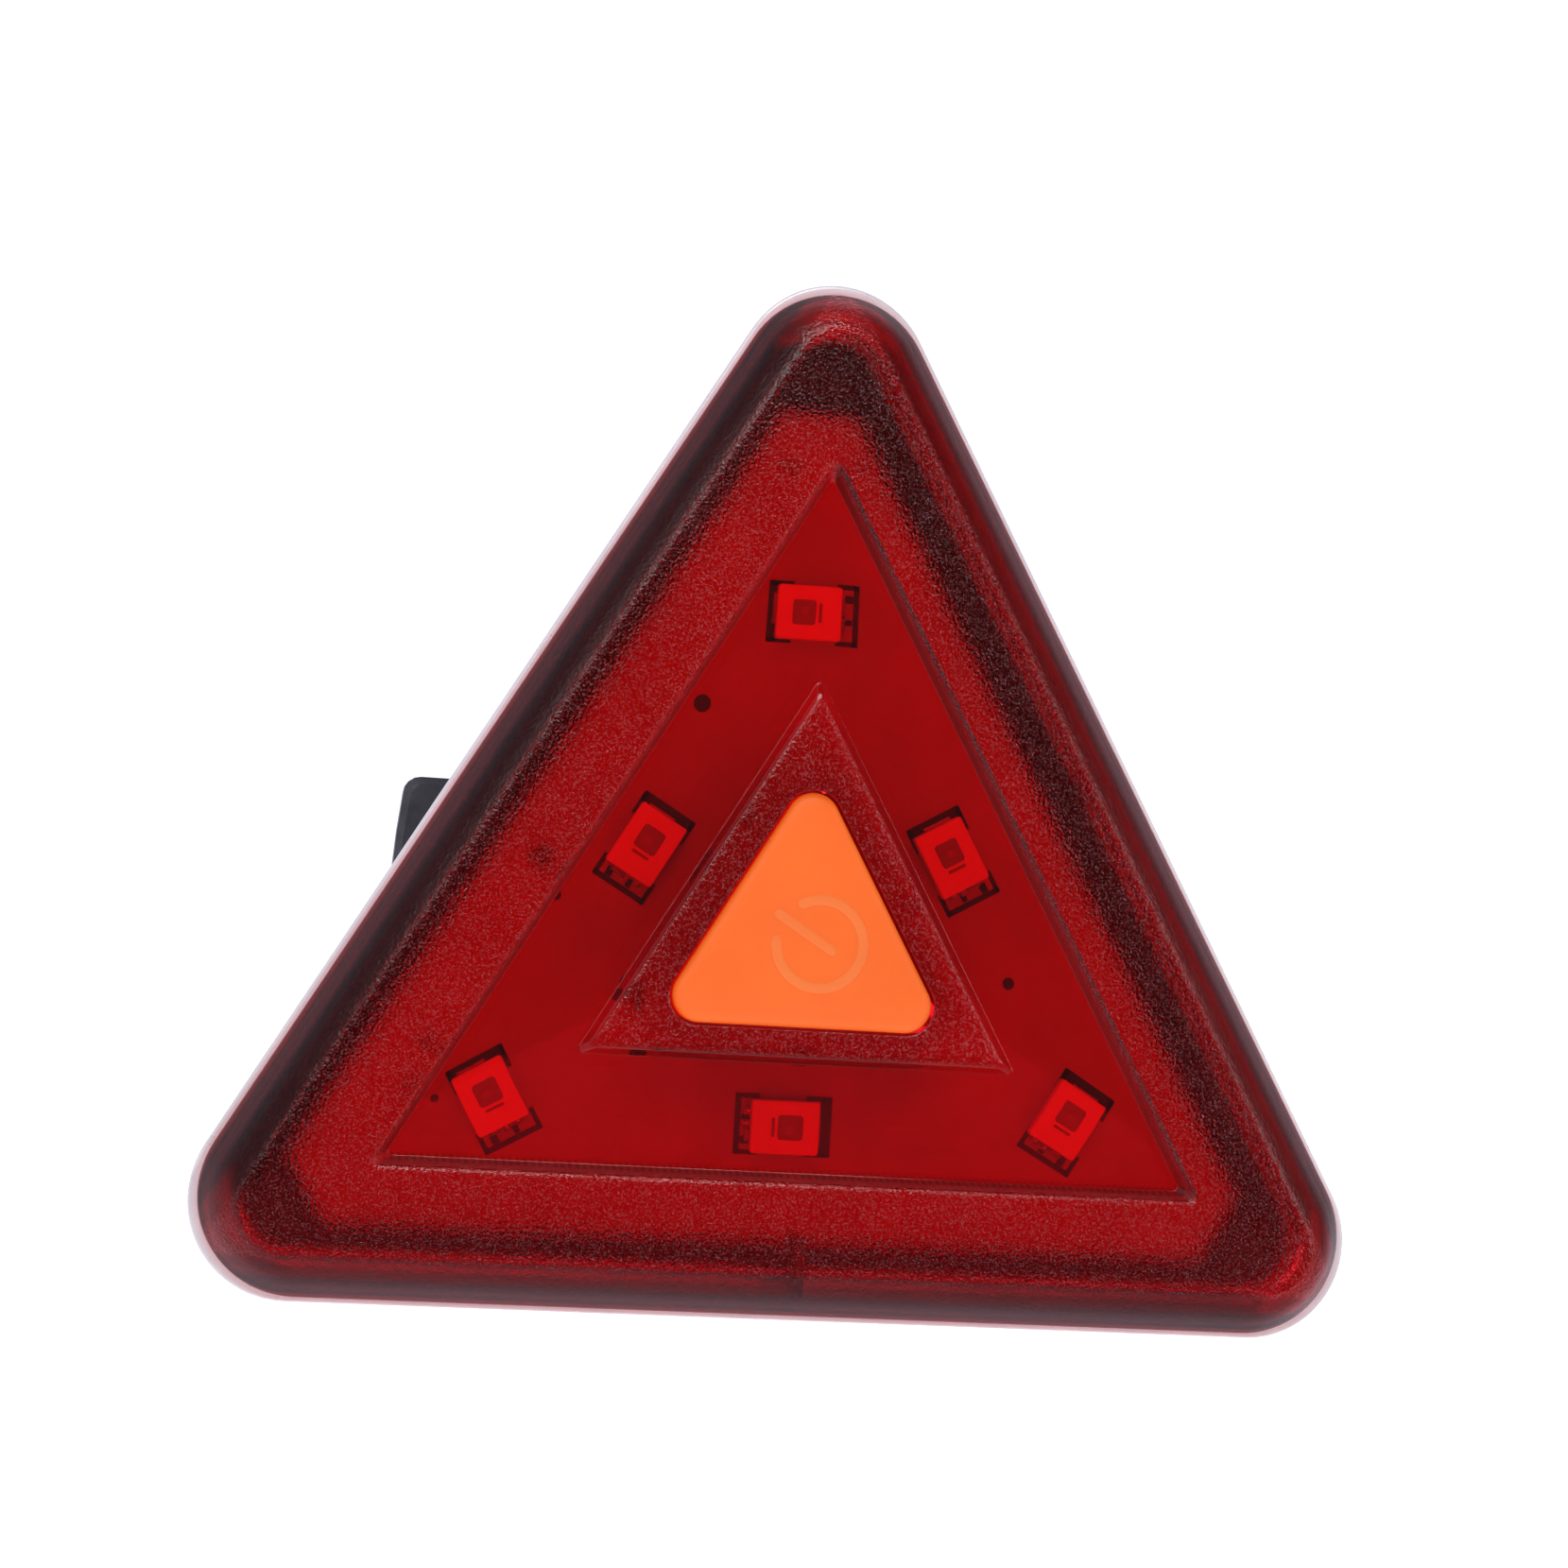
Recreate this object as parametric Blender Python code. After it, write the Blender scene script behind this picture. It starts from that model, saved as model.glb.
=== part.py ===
"""Clip-on triangular warning light.

Units are metres and +Z is up. The red lens faces -Y and the belt clip is at +Y.
The origin is at the middle of the bounding box's bottom face.
An "inradius" below is the distance from a triangle's middle to its flat sides.
A "depth" is measured from the lens's front face towards the clip.
"""
import math

import bmesh
import bpy
from mathutils import Matrix, Vector

MM = 0.001

# Body: the lens, the shell behind it and the cover in the shell's back.
SHELL_R = 18.95 * MM
SHELL_CORNER = 4.95 * MM
LENS_R = 18.66 * MM
LENS_CORNER = 4.9 * MM
FACE_R = 16.4 * MM
FACE_CORNER = 2.3 * MM
WINDOW_TOP_R = 11.96 * MM
WINDOW_FLOOR_R = 11.54 * MM
WINDOW_CORNER = 0.2 * MM
ISLAND_FOOT_R = 6.4 * MM
ISLAND_TOP_R = 5.98 * MM
ISLAND_LIFT = 0.25 * MM
BUTTON_R = 4.33 * MM
BUTTON_CORNER = 1.35 * MM
BUTTON_GAP = 0.12 * MM
CARRIER_R = 5.3 * MM
TONGUE_R = 18.0 * MM
TONGUE_INNER_R = 17.4 * MM
INNER_FACE_R = 16.2 * MM
INNER_FACE_CORNER = 2.1 * MM
RIB_X = 0.75 * MM
RIB_TOP_R = 14.6 * MM
SHELL_MOUTH_R = 18.2 * MM
CAVITY_R = 17.25 * MM
FRAME_R = 16.95 * MM
BOARD_R = 15.35 * MM
BOARD_FLAT = 4.0 * MM
BOARD_DROP = 0.2 * MM
HATCH_R = 12.6 * MM
HATCH_CORNER = 7.0 * MM
REBATE_R = 14.5 * MM
REBATE_CORNER = 2.5 * MM
COVER_R = 14.2 * MM
COVER_CORNER = 2.2 * MM

SEAL_INSET = 0.05 * MM
SEAL_WIDTH = 0.5 * MM
LENS_SEAL_CORNER = 4.2 * MM
LENS_SEAL_WIDTH = 0.3 * MM
REAR_SEAL_R = 13.5 * MM
REAR_SEAL_CORNER = 6.9 * MM
FRAME_CORNER = 3.1 * MM
FRAME_LIP_R = 13.9 * MM
EAR_HALF_WIDTH = 0.65 * MM
CAVITY_CORNER = 3.4 * MM

# Depths behind the lens's front face.
WINDOW_FLOOR_D = 1.0 * MM
ISLAND_TOP_D = 0.45 * MM
BUTTON_TOP_D = 0.12 * MM
SLOPE_END_D = 1.85 * MM
PARTING_D = 2.1 * MM
LENS_BACK_D = 2.0 * MM
INNER_SLOPE_END_D = 3.0 * MM
TONGUE_END_D = 4.9 * MM
RIB_END_D = 4.7 * MM
LEDGE_D = 5.8 * MM
FRAME_FRONT_D = 5.3 * MM
FRAME_BACK_D = 8.2 * MM
BOARD_FRONT_D = 6.2 * MM
BOARD_BACK_D = 7.2 * MM
LAND_D = 9.8 * MM
REBATE_FLOOR_D = 11.2 * MM
COVER_FRONT_D = 11.8 * MM
SHELL_BACK_D = 13.2 * MM
LEVER_FRONT_D = 18.8 * MM
LEVER_THICKNESS = 2.2 * MM
TOTAL_DEPTH = LEVER_FRONT_D + LEVER_THICKNESS

# Light-emitting diodes (name, x, up, direction they lie across) and the push switch on the board.
LED_LENGTH = 3.5 * MM
LED_WIDTH = 2.8 * MM
LED_HEIGHT = 0.8 * MM
LEDS = (
    ("led_top", -0.1 * MM, 16.7 * MM, 90),
    ("led_left", -7.75 * MM, 4.35 * MM, 150),
    ("led_right", 8.2 * MM, 4.65 * MM, 30),
    ("led_bottom_left", -14.8 * MM, -8.8 * MM, 210),
    ("led_bottom", 0.3 * MM, -9.7 * MM, 270),
    ("led_bottom_right", 15.1 * MM, -8.55 * MM, 330),
)
SOLDER_GAP = 0.03 * MM
SWITCH_SIDE = 6.0 * MM
SWITCH_FRONT_D = 3.9 * MM
SWITCH_WELL_END_D = 5.7 * MM
PLUNGER_TOP_D = 3.3 * MM
PLUNGER_EDGE_D = 3.5 * MM
PLUNGER_END_D = 5.0 * MM
PLUNGER_R = 1.6 * MM
PLUNGER_GAP = 0.15 * MM
CARRIER_D = 2.4 * MM
CARRIER_THICKNESS = 0.4 * MM
CARRIER_END_D = 3.0 * MM
CARRIER_FOOT_R = 2.0 * MM

# Parts on the back of the board: width and height of the chip, size of the small parts.
CHIP_WIDTH = 5.0 * MM
CHIP_LOW = 12.6 * MM
CHIP_HIGH = 16.4 * MM
CHIP_THICKNESS = 1.4 * MM
SMALL_PART_LENGTH = 1.6 * MM
SMALL_PART_WIDTH = 0.8 * MM
SMALL_PARTS = (
    ("resistor_1", 210, 13.6 * MM, 0.45 * MM, (0.03, 0.03, 0.03)),
    ("resistor_2", 210, 16.0 * MM, 0.45 * MM, (0.03, 0.03, 0.03)),
    ("resistor_3", 330, 13.6 * MM, 0.45 * MM, (0.03, 0.03, 0.03)),
    ("capacitor", 330, 16.0 * MM, 0.8 * MM, (0.45, 0.33, 0.2)),
)

# Coin cell behind the board.
CELL_R = 10.0 * MM
CELL_FRONT_D = 7.7 * MM
CELL_BACK_D = 10.9 * MM

# Cover screws at the corners.
SCREW_DISTANCE = 21.5 * MM
SCREW_SHANK_R = 0.8 * MM
SCREW_HEAD_R = 1.8 * MM
SCREW_TIP_D = 8.9 * MM
SCREW_THREAD_D = 9.3 * MM
SCREW_HEAD_D = 12.55 * MM
SCREW_EDGE_D = 12.95 * MM
SCREW_TOP_D = 13.15 * MM
CROSS_D = 12.8 * MM
CROSS_ARMS = (("slot_a", 1.1 * MM, 0.2 * MM), ("slot_b", 0.2 * MM, 1.1 * MM))
SEAT_D = 12.4 * MM
BOSS_R = 2.1 * MM
BOSS_FRONT_D = 8.6 * MM
BORE_FRONT_D = 8.0 * MM
BORE_BACK_D = 12.0 * MM

# Belt clip: a sprung lever that turns on an upright pin.
PIVOT_X = -8.0 * MM
PIVOT_D = 16.4 * MM
PIN_R = 1.0 * MM
PIN_HOLE_R = 1.08 * MM
PIN_HALF_LENGTH = 7.4 * MM
EAR_INNER = 3.5 * MM
EAR_OUTER = 5.2 * MM
EAR_R = 2.0 * MM
LUG_INNER = 5.5 * MM
LUG_OUTER = 7.2 * MM
LEVER_HALF_HEIGHT = 7.45 * MM
LEVER_LEFT_X = -19.4 * MM
LEVER_RIGHT_X = 13.4 * MM
LEVER_BULGE = 0.4 * MM
LEVER_CORNER = 0.9 * MM
JAW_LENGTH = 2.6 * MM
JAW_GAP = 0.4 * MM
SPRING_WIRE_R = 0.3 * MM
SPRING_COIL_R = 1.75 * MM
SPRING_TURNS = 6
SPRING_PITCH = 0.8 * MM
SPRING_LEG_X = -15.0 * MM

CORNER_STEPS = 8
ROUND_STEPS = 24
SIDE_TURNS = (270, 30, 150)
CORNER_TURNS = (90, 210, 330)
FRONT_Y = -TOTAL_DEPTH / 2
CENTRE_Z = SHELL_R


def clear_scene():
    for item in list(bpy.data.objects):
        bpy.data.objects.remove(item, do_unlink=True)


def place(x, up, depth):
    """World point from a place seen from the front and a depth behind the front face."""
    return Vector((x, FRONT_Y + depth, CENTRE_Z + up))


def polar(distance, degrees):
    angle = math.radians(degrees)
    return Vector((distance * math.cos(angle), distance * math.sin(angle)))


def paint(item, colour, roughness, metallic=0.0):
    """Give an object a plain material of its own."""
    material = bpy.data.materials.new(item.name)
    material.use_nodes = True
    shader = material.node_tree.nodes["Principled BSDF"]
    shader.inputs["Base Color"].default_value = (*colour, 1.0)
    shader.inputs["Roughness"].default_value = roughness
    shader.inputs["Metallic"].default_value = metallic
    item.data.materials.append(material)
    return item


def add_object(name, mesh_builder, sharp_degrees=30):
    """Turn a bmesh into a named object with smooth shading between its sharp edges."""
    bmesh.ops.recalc_face_normals(mesh_builder, faces=mesh_builder.faces)
    mesh = bpy.data.meshes.new(name)
    mesh_builder.to_mesh(mesh)
    mesh_builder.free()
    mesh.shade_smooth()
    mesh.set_sharp_from_angle(angle=math.radians(sharp_degrees))
    item = bpy.data.objects.new(name, mesh)
    bpy.context.scene.collection.objects.link(item)
    return item


def round_triangle(inradius, corner):
    """Outline of an upright triangle whose corners are arcs."""
    points = []
    for turn in CORNER_TURNS:
        middle = polar(2 * (inradius - corner), turn)
        for step in range(CORNER_STEPS + 1):
            points.append(middle + polar(corner, turn - 60 + 120 * step / CORNER_STEPS))
    return points


def cut_triangle(inradius, flat):
    """Outline of an upright triangle whose corners are cut off square."""
    points = []
    reach = 2 * inradius - flat * math.sqrt(3) / 2
    for turn in CORNER_TURNS:
        across = polar(flat, turn + 90)
        for step in range(CORNER_STEPS + 1):
            points.append(polar(reach, turn) + across * (step / CORNER_STEPS - 0.5))
    return points


def circle(radius, steps=ROUND_STEPS):
    return [polar(radius, 360 * step / steps) for step in range(steps)]


def sweep(name, stations, ring=False):
    """Skin a row of (outline, depth, lift) stations, as a solid or as a closed ring."""
    builder = bmesh.new()
    loops = []
    for outline, depth, lift in stations:
        loops.append([builder.verts.new(place(p.x, p.y + lift, depth)) for p in outline])
    pairs = list(zip(loops, loops[1:]))
    if ring:
        pairs.append((loops[-1], loops[0]))
    else:
        builder.faces.new(loops[0])
        builder.faces.new(loops[-1])
    for first, second in pairs:
        count = len(first)
        for index in range(count):
            after = (index + 1) % count
            builder.faces.new((first[index], first[after], second[after], second[index]))
    return add_object(name, builder)


def prism(name, outline, front, back, x=0.0, up=0.0):
    """Solid of one outline between two depths, moved to a place seen from the front."""
    moved = [point + Vector((x, up)) for point in outline]
    return sweep(name, [(moved, front, 0.0), (moved, back, 0.0)])


def turned(name, profile, x=0.0, up=0.0):
    """Solid turned about a line along the depth, from (radius, depth) pairs."""
    centre = Vector((x, up))
    stations = []
    for radius, depth in profile:
        stations.append(([centre + p for p in circle(radius)], depth, 0.0))
    return sweep(name, stations)


def block(name, low, high):
    """Box between two (x, up, depth) corners."""
    outline = [
        Vector((low[0], low[1])),
        Vector((high[0], low[1])),
        Vector((high[0], high[1])),
        Vector((low[0], high[1])),
    ]
    return prism(name, outline, low[2], high[2])


def upright_cylinder(name, radius, x, depth, low, high, steps=ROUND_STEPS):
    """Cylinder along the pin's line, between two heights about the middle."""
    builder = bmesh.new()
    middle = place(x, (low + high) / 2, depth)
    bmesh.ops.create_cone(
        builder,
        cap_ends=True,
        segments=steps,
        radius1=radius,
        radius2=radius,
        depth=high - low,
        matrix=Matrix.Translation(middle),
    )
    return add_object(name, builder)


def combine(item, tool, operation):
    """Join or cut with a helper object, which is left out of the model."""
    modifier = item.modifiers.new(tool.name, "BOOLEAN")
    modifier.operation = operation
    modifier.solver = "EXACT"
    modifier.object = tool
    tool.hide_render = True
    tool.display_type = "WIRE"


def make_lens():
    """Red cover: grained face, clear window, button island and a skirt behind."""
    hole = BUTTON_R + BUTTON_GAP
    hole_corner = BUTTON_CORNER + BUTTON_GAP
    slope_middle_r = 0.45 * FACE_R + 0.55 * LENS_R
    slope_middle_corner = 0.5 * (FACE_CORNER + LENS_CORNER)
    slope_middle_d = 0.36 * SLOPE_END_D
    stations = [
        (round_triangle(hole, hole_corner), ISLAND_TOP_D, 0.0),
        (round_triangle(ISLAND_TOP_R, WINDOW_CORNER), ISLAND_TOP_D, ISLAND_LIFT),
        (round_triangle(ISLAND_FOOT_R, WINDOW_CORNER), WINDOW_FLOOR_D, ISLAND_LIFT),
        (round_triangle(WINDOW_FLOOR_R, WINDOW_CORNER), WINDOW_FLOOR_D, 0.0),
        (round_triangle(WINDOW_TOP_R, WINDOW_CORNER), 0.0, 0.0),
        (round_triangle(FACE_R, FACE_CORNER), 0.0, 0.0),
        (round_triangle(slope_middle_r, slope_middle_corner), slope_middle_d, 0.0),
        (round_triangle(LENS_R, LENS_CORNER), SLOPE_END_D, 0.0),
        (round_triangle(LENS_R, LENS_CORNER), PARTING_D, 0.0),
        (round_triangle(TONGUE_R, LENS_CORNER - LENS_R + TONGUE_R), PARTING_D, 0.0),
        (round_triangle(TONGUE_R, LENS_CORNER - LENS_R + TONGUE_R), TONGUE_END_D, 0.0),
        (round_triangle(TONGUE_INNER_R, LENS_CORNER - LENS_R + TONGUE_INNER_R), TONGUE_END_D, 0.0),
        (round_triangle(TONGUE_INNER_R, LENS_CORNER - LENS_R + TONGUE_INNER_R), INNER_SLOPE_END_D, 0.0),
        (round_triangle(INNER_FACE_R, INNER_FACE_CORNER), LENS_BACK_D, 0.0),
        (round_triangle(hole, hole_corner), LENS_BACK_D, 0.0),
    ]
    lens = paint(sweep("lens_cover", stations, ring=True), (0.42, 0.006, 0.015), 0.35)
    low = (RIB_X - 0.3 * MM, -TONGUE_INNER_R - 0.3 * MM, LENS_BACK_D - 0.3 * MM)
    high = (RIB_X + 0.3 * MM, -RIB_TOP_R, RIB_END_D)
    combine(lens, block("lens_rib", low, high), "UNION")


def make_button():
    """Orange push button and the black carrier that keeps it behind the lens."""
    crown = [
        (BUTTON_R - 1.3 * MM, 0.6 * MM, BUTTON_TOP_D),
        (BUTTON_R - 0.5 * MM, 1.0 * MM, BUTTON_TOP_D + 0.07 * MM),
        (BUTTON_R - 0.12 * MM, BUTTON_CORNER, BUTTON_TOP_D + 0.24 * MM),
        (BUTTON_R, BUTTON_CORNER, BUTTON_TOP_D + 0.5 * MM),
        (BUTTON_R, BUTTON_CORNER, LENS_BACK_D + 0.1 * MM),
    ]
    stations = [(round_triangle(radius, corner), depth, 0.0) for radius, corner, depth in crown]
    paint(sweep("power_button", stations), (0.95, 0.16, 0.02), 0.5)
    plate = [
        (CARRIER_R, 1.9 * MM, CARRIER_D),
        (CARRIER_R, 1.9 * MM, CARRIER_D + CARRIER_THICKNESS),
        (CARRIER_FOOT_R, 0.9 * MM, CARRIER_D + CARRIER_THICKNESS),
        (CARRIER_FOOT_R, 0.9 * MM, CARRIER_END_D),
    ]
    stations = [(round_triangle(radius, corner), depth, 0.0) for radius, corner, depth in plate]
    paint(sweep("button_carrier", stations), (0.03, 0.03, 0.03), 0.55)


def make_shell():
    """Silver tub behind the lens, with a hatch in its back and three screw bosses."""
    mouth_corner = SHELL_CORNER - SHELL_R + SHELL_MOUTH_R
    rows = [
        (SHELL_R - 0.12 * MM, SHELL_CORNER - 0.12 * MM, PARTING_D + 0.1 * MM),
        (SHELL_R, SHELL_CORNER, PARTING_D + 0.25 * MM),
        (SHELL_R, SHELL_CORNER, 9.6 * MM),
        (SHELL_R - 0.35 * MM, SHELL_CORNER - 0.2 * MM, 11.2 * MM),
        (SHELL_R - 1.1 * MM, SHELL_CORNER - 0.7 * MM, 12.4 * MM),
        (SHELL_R - 2.2 * MM, SHELL_CORNER - 1.4 * MM, SHELL_BACK_D),
        (REBATE_R, REBATE_CORNER, SHELL_BACK_D),
        (REBATE_R, REBATE_CORNER, REBATE_FLOOR_D),
        (HATCH_R, HATCH_CORNER, REBATE_FLOOR_D),
        (HATCH_R, HATCH_CORNER, LAND_D),
        (CAVITY_R, CAVITY_CORNER, LAND_D),
        (CAVITY_R, CAVITY_CORNER, LEDGE_D),
        (SHELL_MOUTH_R, mouth_corner, LEDGE_D),
        (SHELL_MOUTH_R, mouth_corner, PARTING_D + 0.1 * MM),
    ]
    stations = [(round_triangle(radius, corner), depth, 0.0) for radius, corner, depth in rows]
    shell = paint(sweep("rear_shell", stations, ring=True), (0.74, 0.72, 0.75), 0.4, 0.3)
    for number, turn in enumerate(CORNER_TURNS, 1):
        spot = polar(SCREW_DISTANCE, turn)
        boss = prism(f"boss_{number}", circle(BOSS_R), BOSS_FRONT_D, LAND_D + 0.5 * MM, spot.x, spot.y)
        combine(shell, boss, "UNION")
        hole = circle(SCREW_SHANK_R + 0.15 * MM)
        bore = prism(f"bore_{number}", hole, BORE_FRONT_D, BORE_BACK_D, spot.x, spot.y)
        combine(shell, bore, "DIFFERENCE")


def ring_between(name, outer, inner, front, back):
    """Flat ring between two (inradius, corner) triangles."""
    stations = [
        (round_triangle(*outer), front, 0.0),
        (round_triangle(*outer), back, 0.0),
        (round_triangle(*inner), back, 0.0),
        (round_triangle(*inner), front, 0.0),
    ]
    return sweep(name, stations, ring=True)


def make_seals():
    lens_seal = ring_between(
        "lens_seal",
        (TONGUE_R - SEAL_INSET, LENS_SEAL_CORNER),
        (TONGUE_R - SEAL_INSET - LENS_SEAL_WIDTH, LENS_SEAL_CORNER - LENS_SEAL_WIDTH),
        TONGUE_END_D + 0.2 * MM,
        LEDGE_D - 0.2 * MM,
    )
    paint(lens_seal, (0.6, 0.59, 0.56), 0.6)
    rear_seal = ring_between(
        "rear_seal",
        (REAR_SEAL_R, REAR_SEAL_CORNER),
        (REAR_SEAL_R - SEAL_WIDTH, REAR_SEAL_CORNER - 0.1 * MM),
        REBATE_FLOOR_D + 0.1 * MM,
        COVER_FRONT_D - 0.1 * MM,
    )
    paint(rear_seal, (0.02, 0.02, 0.02), 0.7)


def make_frame():
    """Black frame that holds the board, with an ear over the shell's ledge on each side."""
    board_hole = cut_triangle(BOARD_R + 0.3 * MM, BOARD_FLAT)
    lip_hole = cut_triangle(FRAME_LIP_R, BOARD_FLAT)
    stations = [
        (round_triangle(FRAME_R, FRAME_CORNER), FRAME_FRONT_D, 0.0),
        (round_triangle(FRAME_R, FRAME_CORNER), FRAME_BACK_D, 0.0),
        (lip_hole, FRAME_BACK_D, -BOARD_DROP),
        (lip_hole, BOARD_BACK_D + 0.2 * MM, -BOARD_DROP),
        (board_hole, BOARD_BACK_D + 0.2 * MM, -BOARD_DROP),
        (board_hole, FRAME_FRONT_D, -BOARD_DROP),
    ]
    frame = paint(sweep("inner_frame", stations, ring=True), (0.012, 0.012, 0.014), 0.6)
    for number, turn in enumerate(SIDE_TURNS, 1):
        outward = polar(1.0, turn)
        across = polar(EAR_HALF_WIDTH, turn + 90)
        inner = outward * (FRAME_R - 0.5 * MM)
        outer = outward * TONGUE_INNER_R
        outline = [inner - across, outer - across, outer + across, inner + across]
        ear = prism(f"frame_ear_{number}", outline, FRAME_FRONT_D, LEDGE_D - 0.2 * MM)
        combine(frame, ear, "UNION")


def make_board():
    outline = [point + Vector((0.0, -BOARD_DROP)) for point in cut_triangle(BOARD_R, BOARD_FLAT)]
    board = prism("circuit_board", outline, BOARD_FRONT_D, BOARD_BACK_D)
    paint(board, (0.82, 0.82, 0.8), 0.45)


def rectangle(length, width, turn):
    """Rectangle whose length lies across a direction."""
    along = polar(length / 2, turn + 90)
    out = polar(width / 2, turn)
    return [out - along, -along - out, along - out, out + along]


def make_leds():
    """Six diodes: one near each corner and one beside the middle of each side."""
    front = BOARD_FRONT_D - LED_HEIGHT
    for name, x, up, turn in LEDS:
        outline = rectangle(LED_LENGTH, LED_WIDTH, turn)
        led = prism(name, outline, front, BOARD_FRONT_D - SOLDER_GAP, x, up)
        paint(led, (0.9, 0.88, 0.84), 0.35)


def make_switch():
    """Push switch under the button, and its moving plunger."""
    half = SWITCH_SIDE / 2
    low = (-half, -half, SWITCH_FRONT_D)
    high = (half, half, BOARD_FRONT_D - SOLDER_GAP)
    body = paint(block("switch_body", low, high), (0.05, 0.05, 0.05), 0.5)
    well_r = PLUNGER_R + PLUNGER_GAP
    well = turned("switch_well", [(well_r, CARRIER_END_D), (well_r, SWITCH_WELL_END_D)])
    combine(body, well, "DIFFERENCE")
    profile = [
        (PLUNGER_R - 0.2 * MM, PLUNGER_TOP_D),
        (PLUNGER_R, PLUNGER_EDGE_D),
        (PLUNGER_R, PLUNGER_END_D),
    ]
    paint(turned("switch_plunger", profile), (0.5, 0.5, 0.48), 0.5)


def make_rear_components():
    """Chip, resistors and capacitor on the back of the board."""
    front = BOARD_BACK_D + SOLDER_GAP
    low = (-CHIP_WIDTH / 2, CHIP_LOW, front)
    high = (CHIP_WIDTH / 2, CHIP_HIGH, front + CHIP_THICKNESS)
    paint(block("controller_chip", low, high), (0.03, 0.03, 0.03), 0.5)
    for name, turn, distance, height, colour in SMALL_PARTS:
        spot = polar(distance, turn)
        outline = rectangle(SMALL_PART_LENGTH, SMALL_PART_WIDTH, turn)
        paint(prism(name, outline, front, front + height, spot.x, spot.y), colour, 0.45)


def bent_strip(name, path, thickness, low, high):
    """Metal strip of constant thickness bent along (x, depth) points."""
    points = [Vector(point) for point in path]
    normals = []
    for index, point in enumerate(points):
        before = points[max(index - 1, 0)]
        after = points[min(index + 1, len(points) - 1)]
        along = (after - before).normalized()
        normals.append(Vector((-along.y, along.x)))
    near = [p - n * (thickness / 2) for p, n in zip(points, normals)]
    far = [p + n * (thickness / 2) for p, n in zip(points, normals)]
    outline = near + far[::-1]
    builder = bmesh.new()
    bottom = [builder.verts.new(place(p.x, low, p.y)) for p in outline]
    top = [builder.verts.new(place(p.x, high, p.y)) for p in outline]
    count = len(points)
    total = len(outline)
    for ring in (bottom, top):
        for index in range(count - 1):
            opposite = total - 1 - index
            builder.faces.new((ring[index], ring[index + 1], ring[opposite - 1], ring[opposite]))
    for index in range(total):
        after = (index + 1) % total
        builder.faces.new((bottom[index], bottom[after], top[after], top[index]))
    return add_object(name, builder)


def make_cell():
    """Coin cell with a spring contact in front of it and a retaining strap behind it."""
    profile = [
        (CELL_R - 1.2 * MM, CELL_FRONT_D),
        (CELL_R - 1.0 * MM, CELL_FRONT_D + 0.3 * MM),
        (CELL_R, CELL_FRONT_D + 0.5 * MM),
        (CELL_R, CELL_BACK_D - 0.2 * MM),
        (CELL_R - 0.2 * MM, CELL_BACK_D),
    ]
    paint(turned("coin_cell", profile), (0.6, 0.6, 0.62), 0.3, 1.0)
    bow = []
    for step in range(7):
        share = step / 6
        x = (share - 0.5) * 9.0 * MM
        rise = math.sin(math.pi * share) * 0.18 * MM
        bow.append((x, BOARD_BACK_D + 0.14 * MM + rise))
    contact = bent_strip("negative_contact", bow, 0.15 * MM, -2.0 * MM, 2.0 * MM)
    paint(contact, (0.75, 0.6, 0.3), 0.35, 1.0)
    side = CELL_R + 0.45 * MM
    front = BOARD_BACK_D + 0.15 * MM
    back = CELL_BACK_D + 0.35 * MM
    strap = [
        (-side - 1.2 * MM, front + 0.1 * MM),
        (-side - 0.15 * MM, front + 0.1 * MM),
        (-side, front + 0.3 * MM),
        (-side, back - 0.25 * MM),
        (-side + 0.3 * MM, back),
        (side - 0.3 * MM, back),
        (side, back - 0.25 * MM),
        (side, front + 0.3 * MM),
        (side + 0.15 * MM, front + 0.1 * MM),
        (side + 1.2 * MM, front + 0.1 * MM),
    ]
    retainer = bent_strip("cell_retainer", strap, 0.25 * MM, -2.2 * MM, 2.2 * MM)
    paint(retainer, (0.7, 0.7, 0.72), 0.35, 1.0)


def make_rear_cover():
    """Black plate that closes the shell's back and carries the clip's two ears."""
    rows = [
        (COVER_R, COVER_CORNER, COVER_FRONT_D),
        (COVER_R, COVER_CORNER, SHELL_BACK_D - 0.15 * MM),
        (COVER_R - 0.15 * MM, COVER_CORNER - 0.15 * MM, SHELL_BACK_D),
    ]
    stations = [(round_triangle(radius, corner), depth, 0.0) for radius, corner, depth in rows]
    cover = paint(sweep("rear_cover", stations), (0.03, 0.03, 0.034), 0.5)
    for number, side in enumerate((-1, 1), 1):
        low, high = sorted((side * EAR_INNER, side * EAR_OUTER))
        web = block(
            f"ear_web_{number}",
            (PIVOT_X - EAR_R, low, SHELL_BACK_D - 0.5 * MM),
            (PIVOT_X + EAR_R, high, PIVOT_D),
        )
        combine(cover, web, "UNION")
        crown = upright_cylinder(f"ear_crown_{number}", EAR_R, PIVOT_X, PIVOT_D, low, high)
        combine(cover, crown, "UNION")
    span = EAR_OUTER + 1.0 * MM
    bore = upright_cylinder("ear_bore", PIN_HOLE_R, PIVOT_X, PIVOT_D, -span, span)
    combine(cover, bore, "DIFFERENCE")
    for number, turn in enumerate(CORNER_TURNS, 1):
        spot = polar(SCREW_DISTANCE, turn)
        profile = [
            (SCREW_SHANK_R + 0.3 * MM, REBATE_FLOOR_D),
            (SCREW_SHANK_R + 0.3 * MM, SEAT_D),
            (SCREW_HEAD_R + 0.3 * MM, SEAT_D),
            (SCREW_HEAD_R + 0.3 * MM, SHELL_BACK_D + 0.8 * MM),
        ]
        combine(cover, turned(f"screw_seat_{number}", profile, spot.x, spot.y), "DIFFERENCE")


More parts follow.
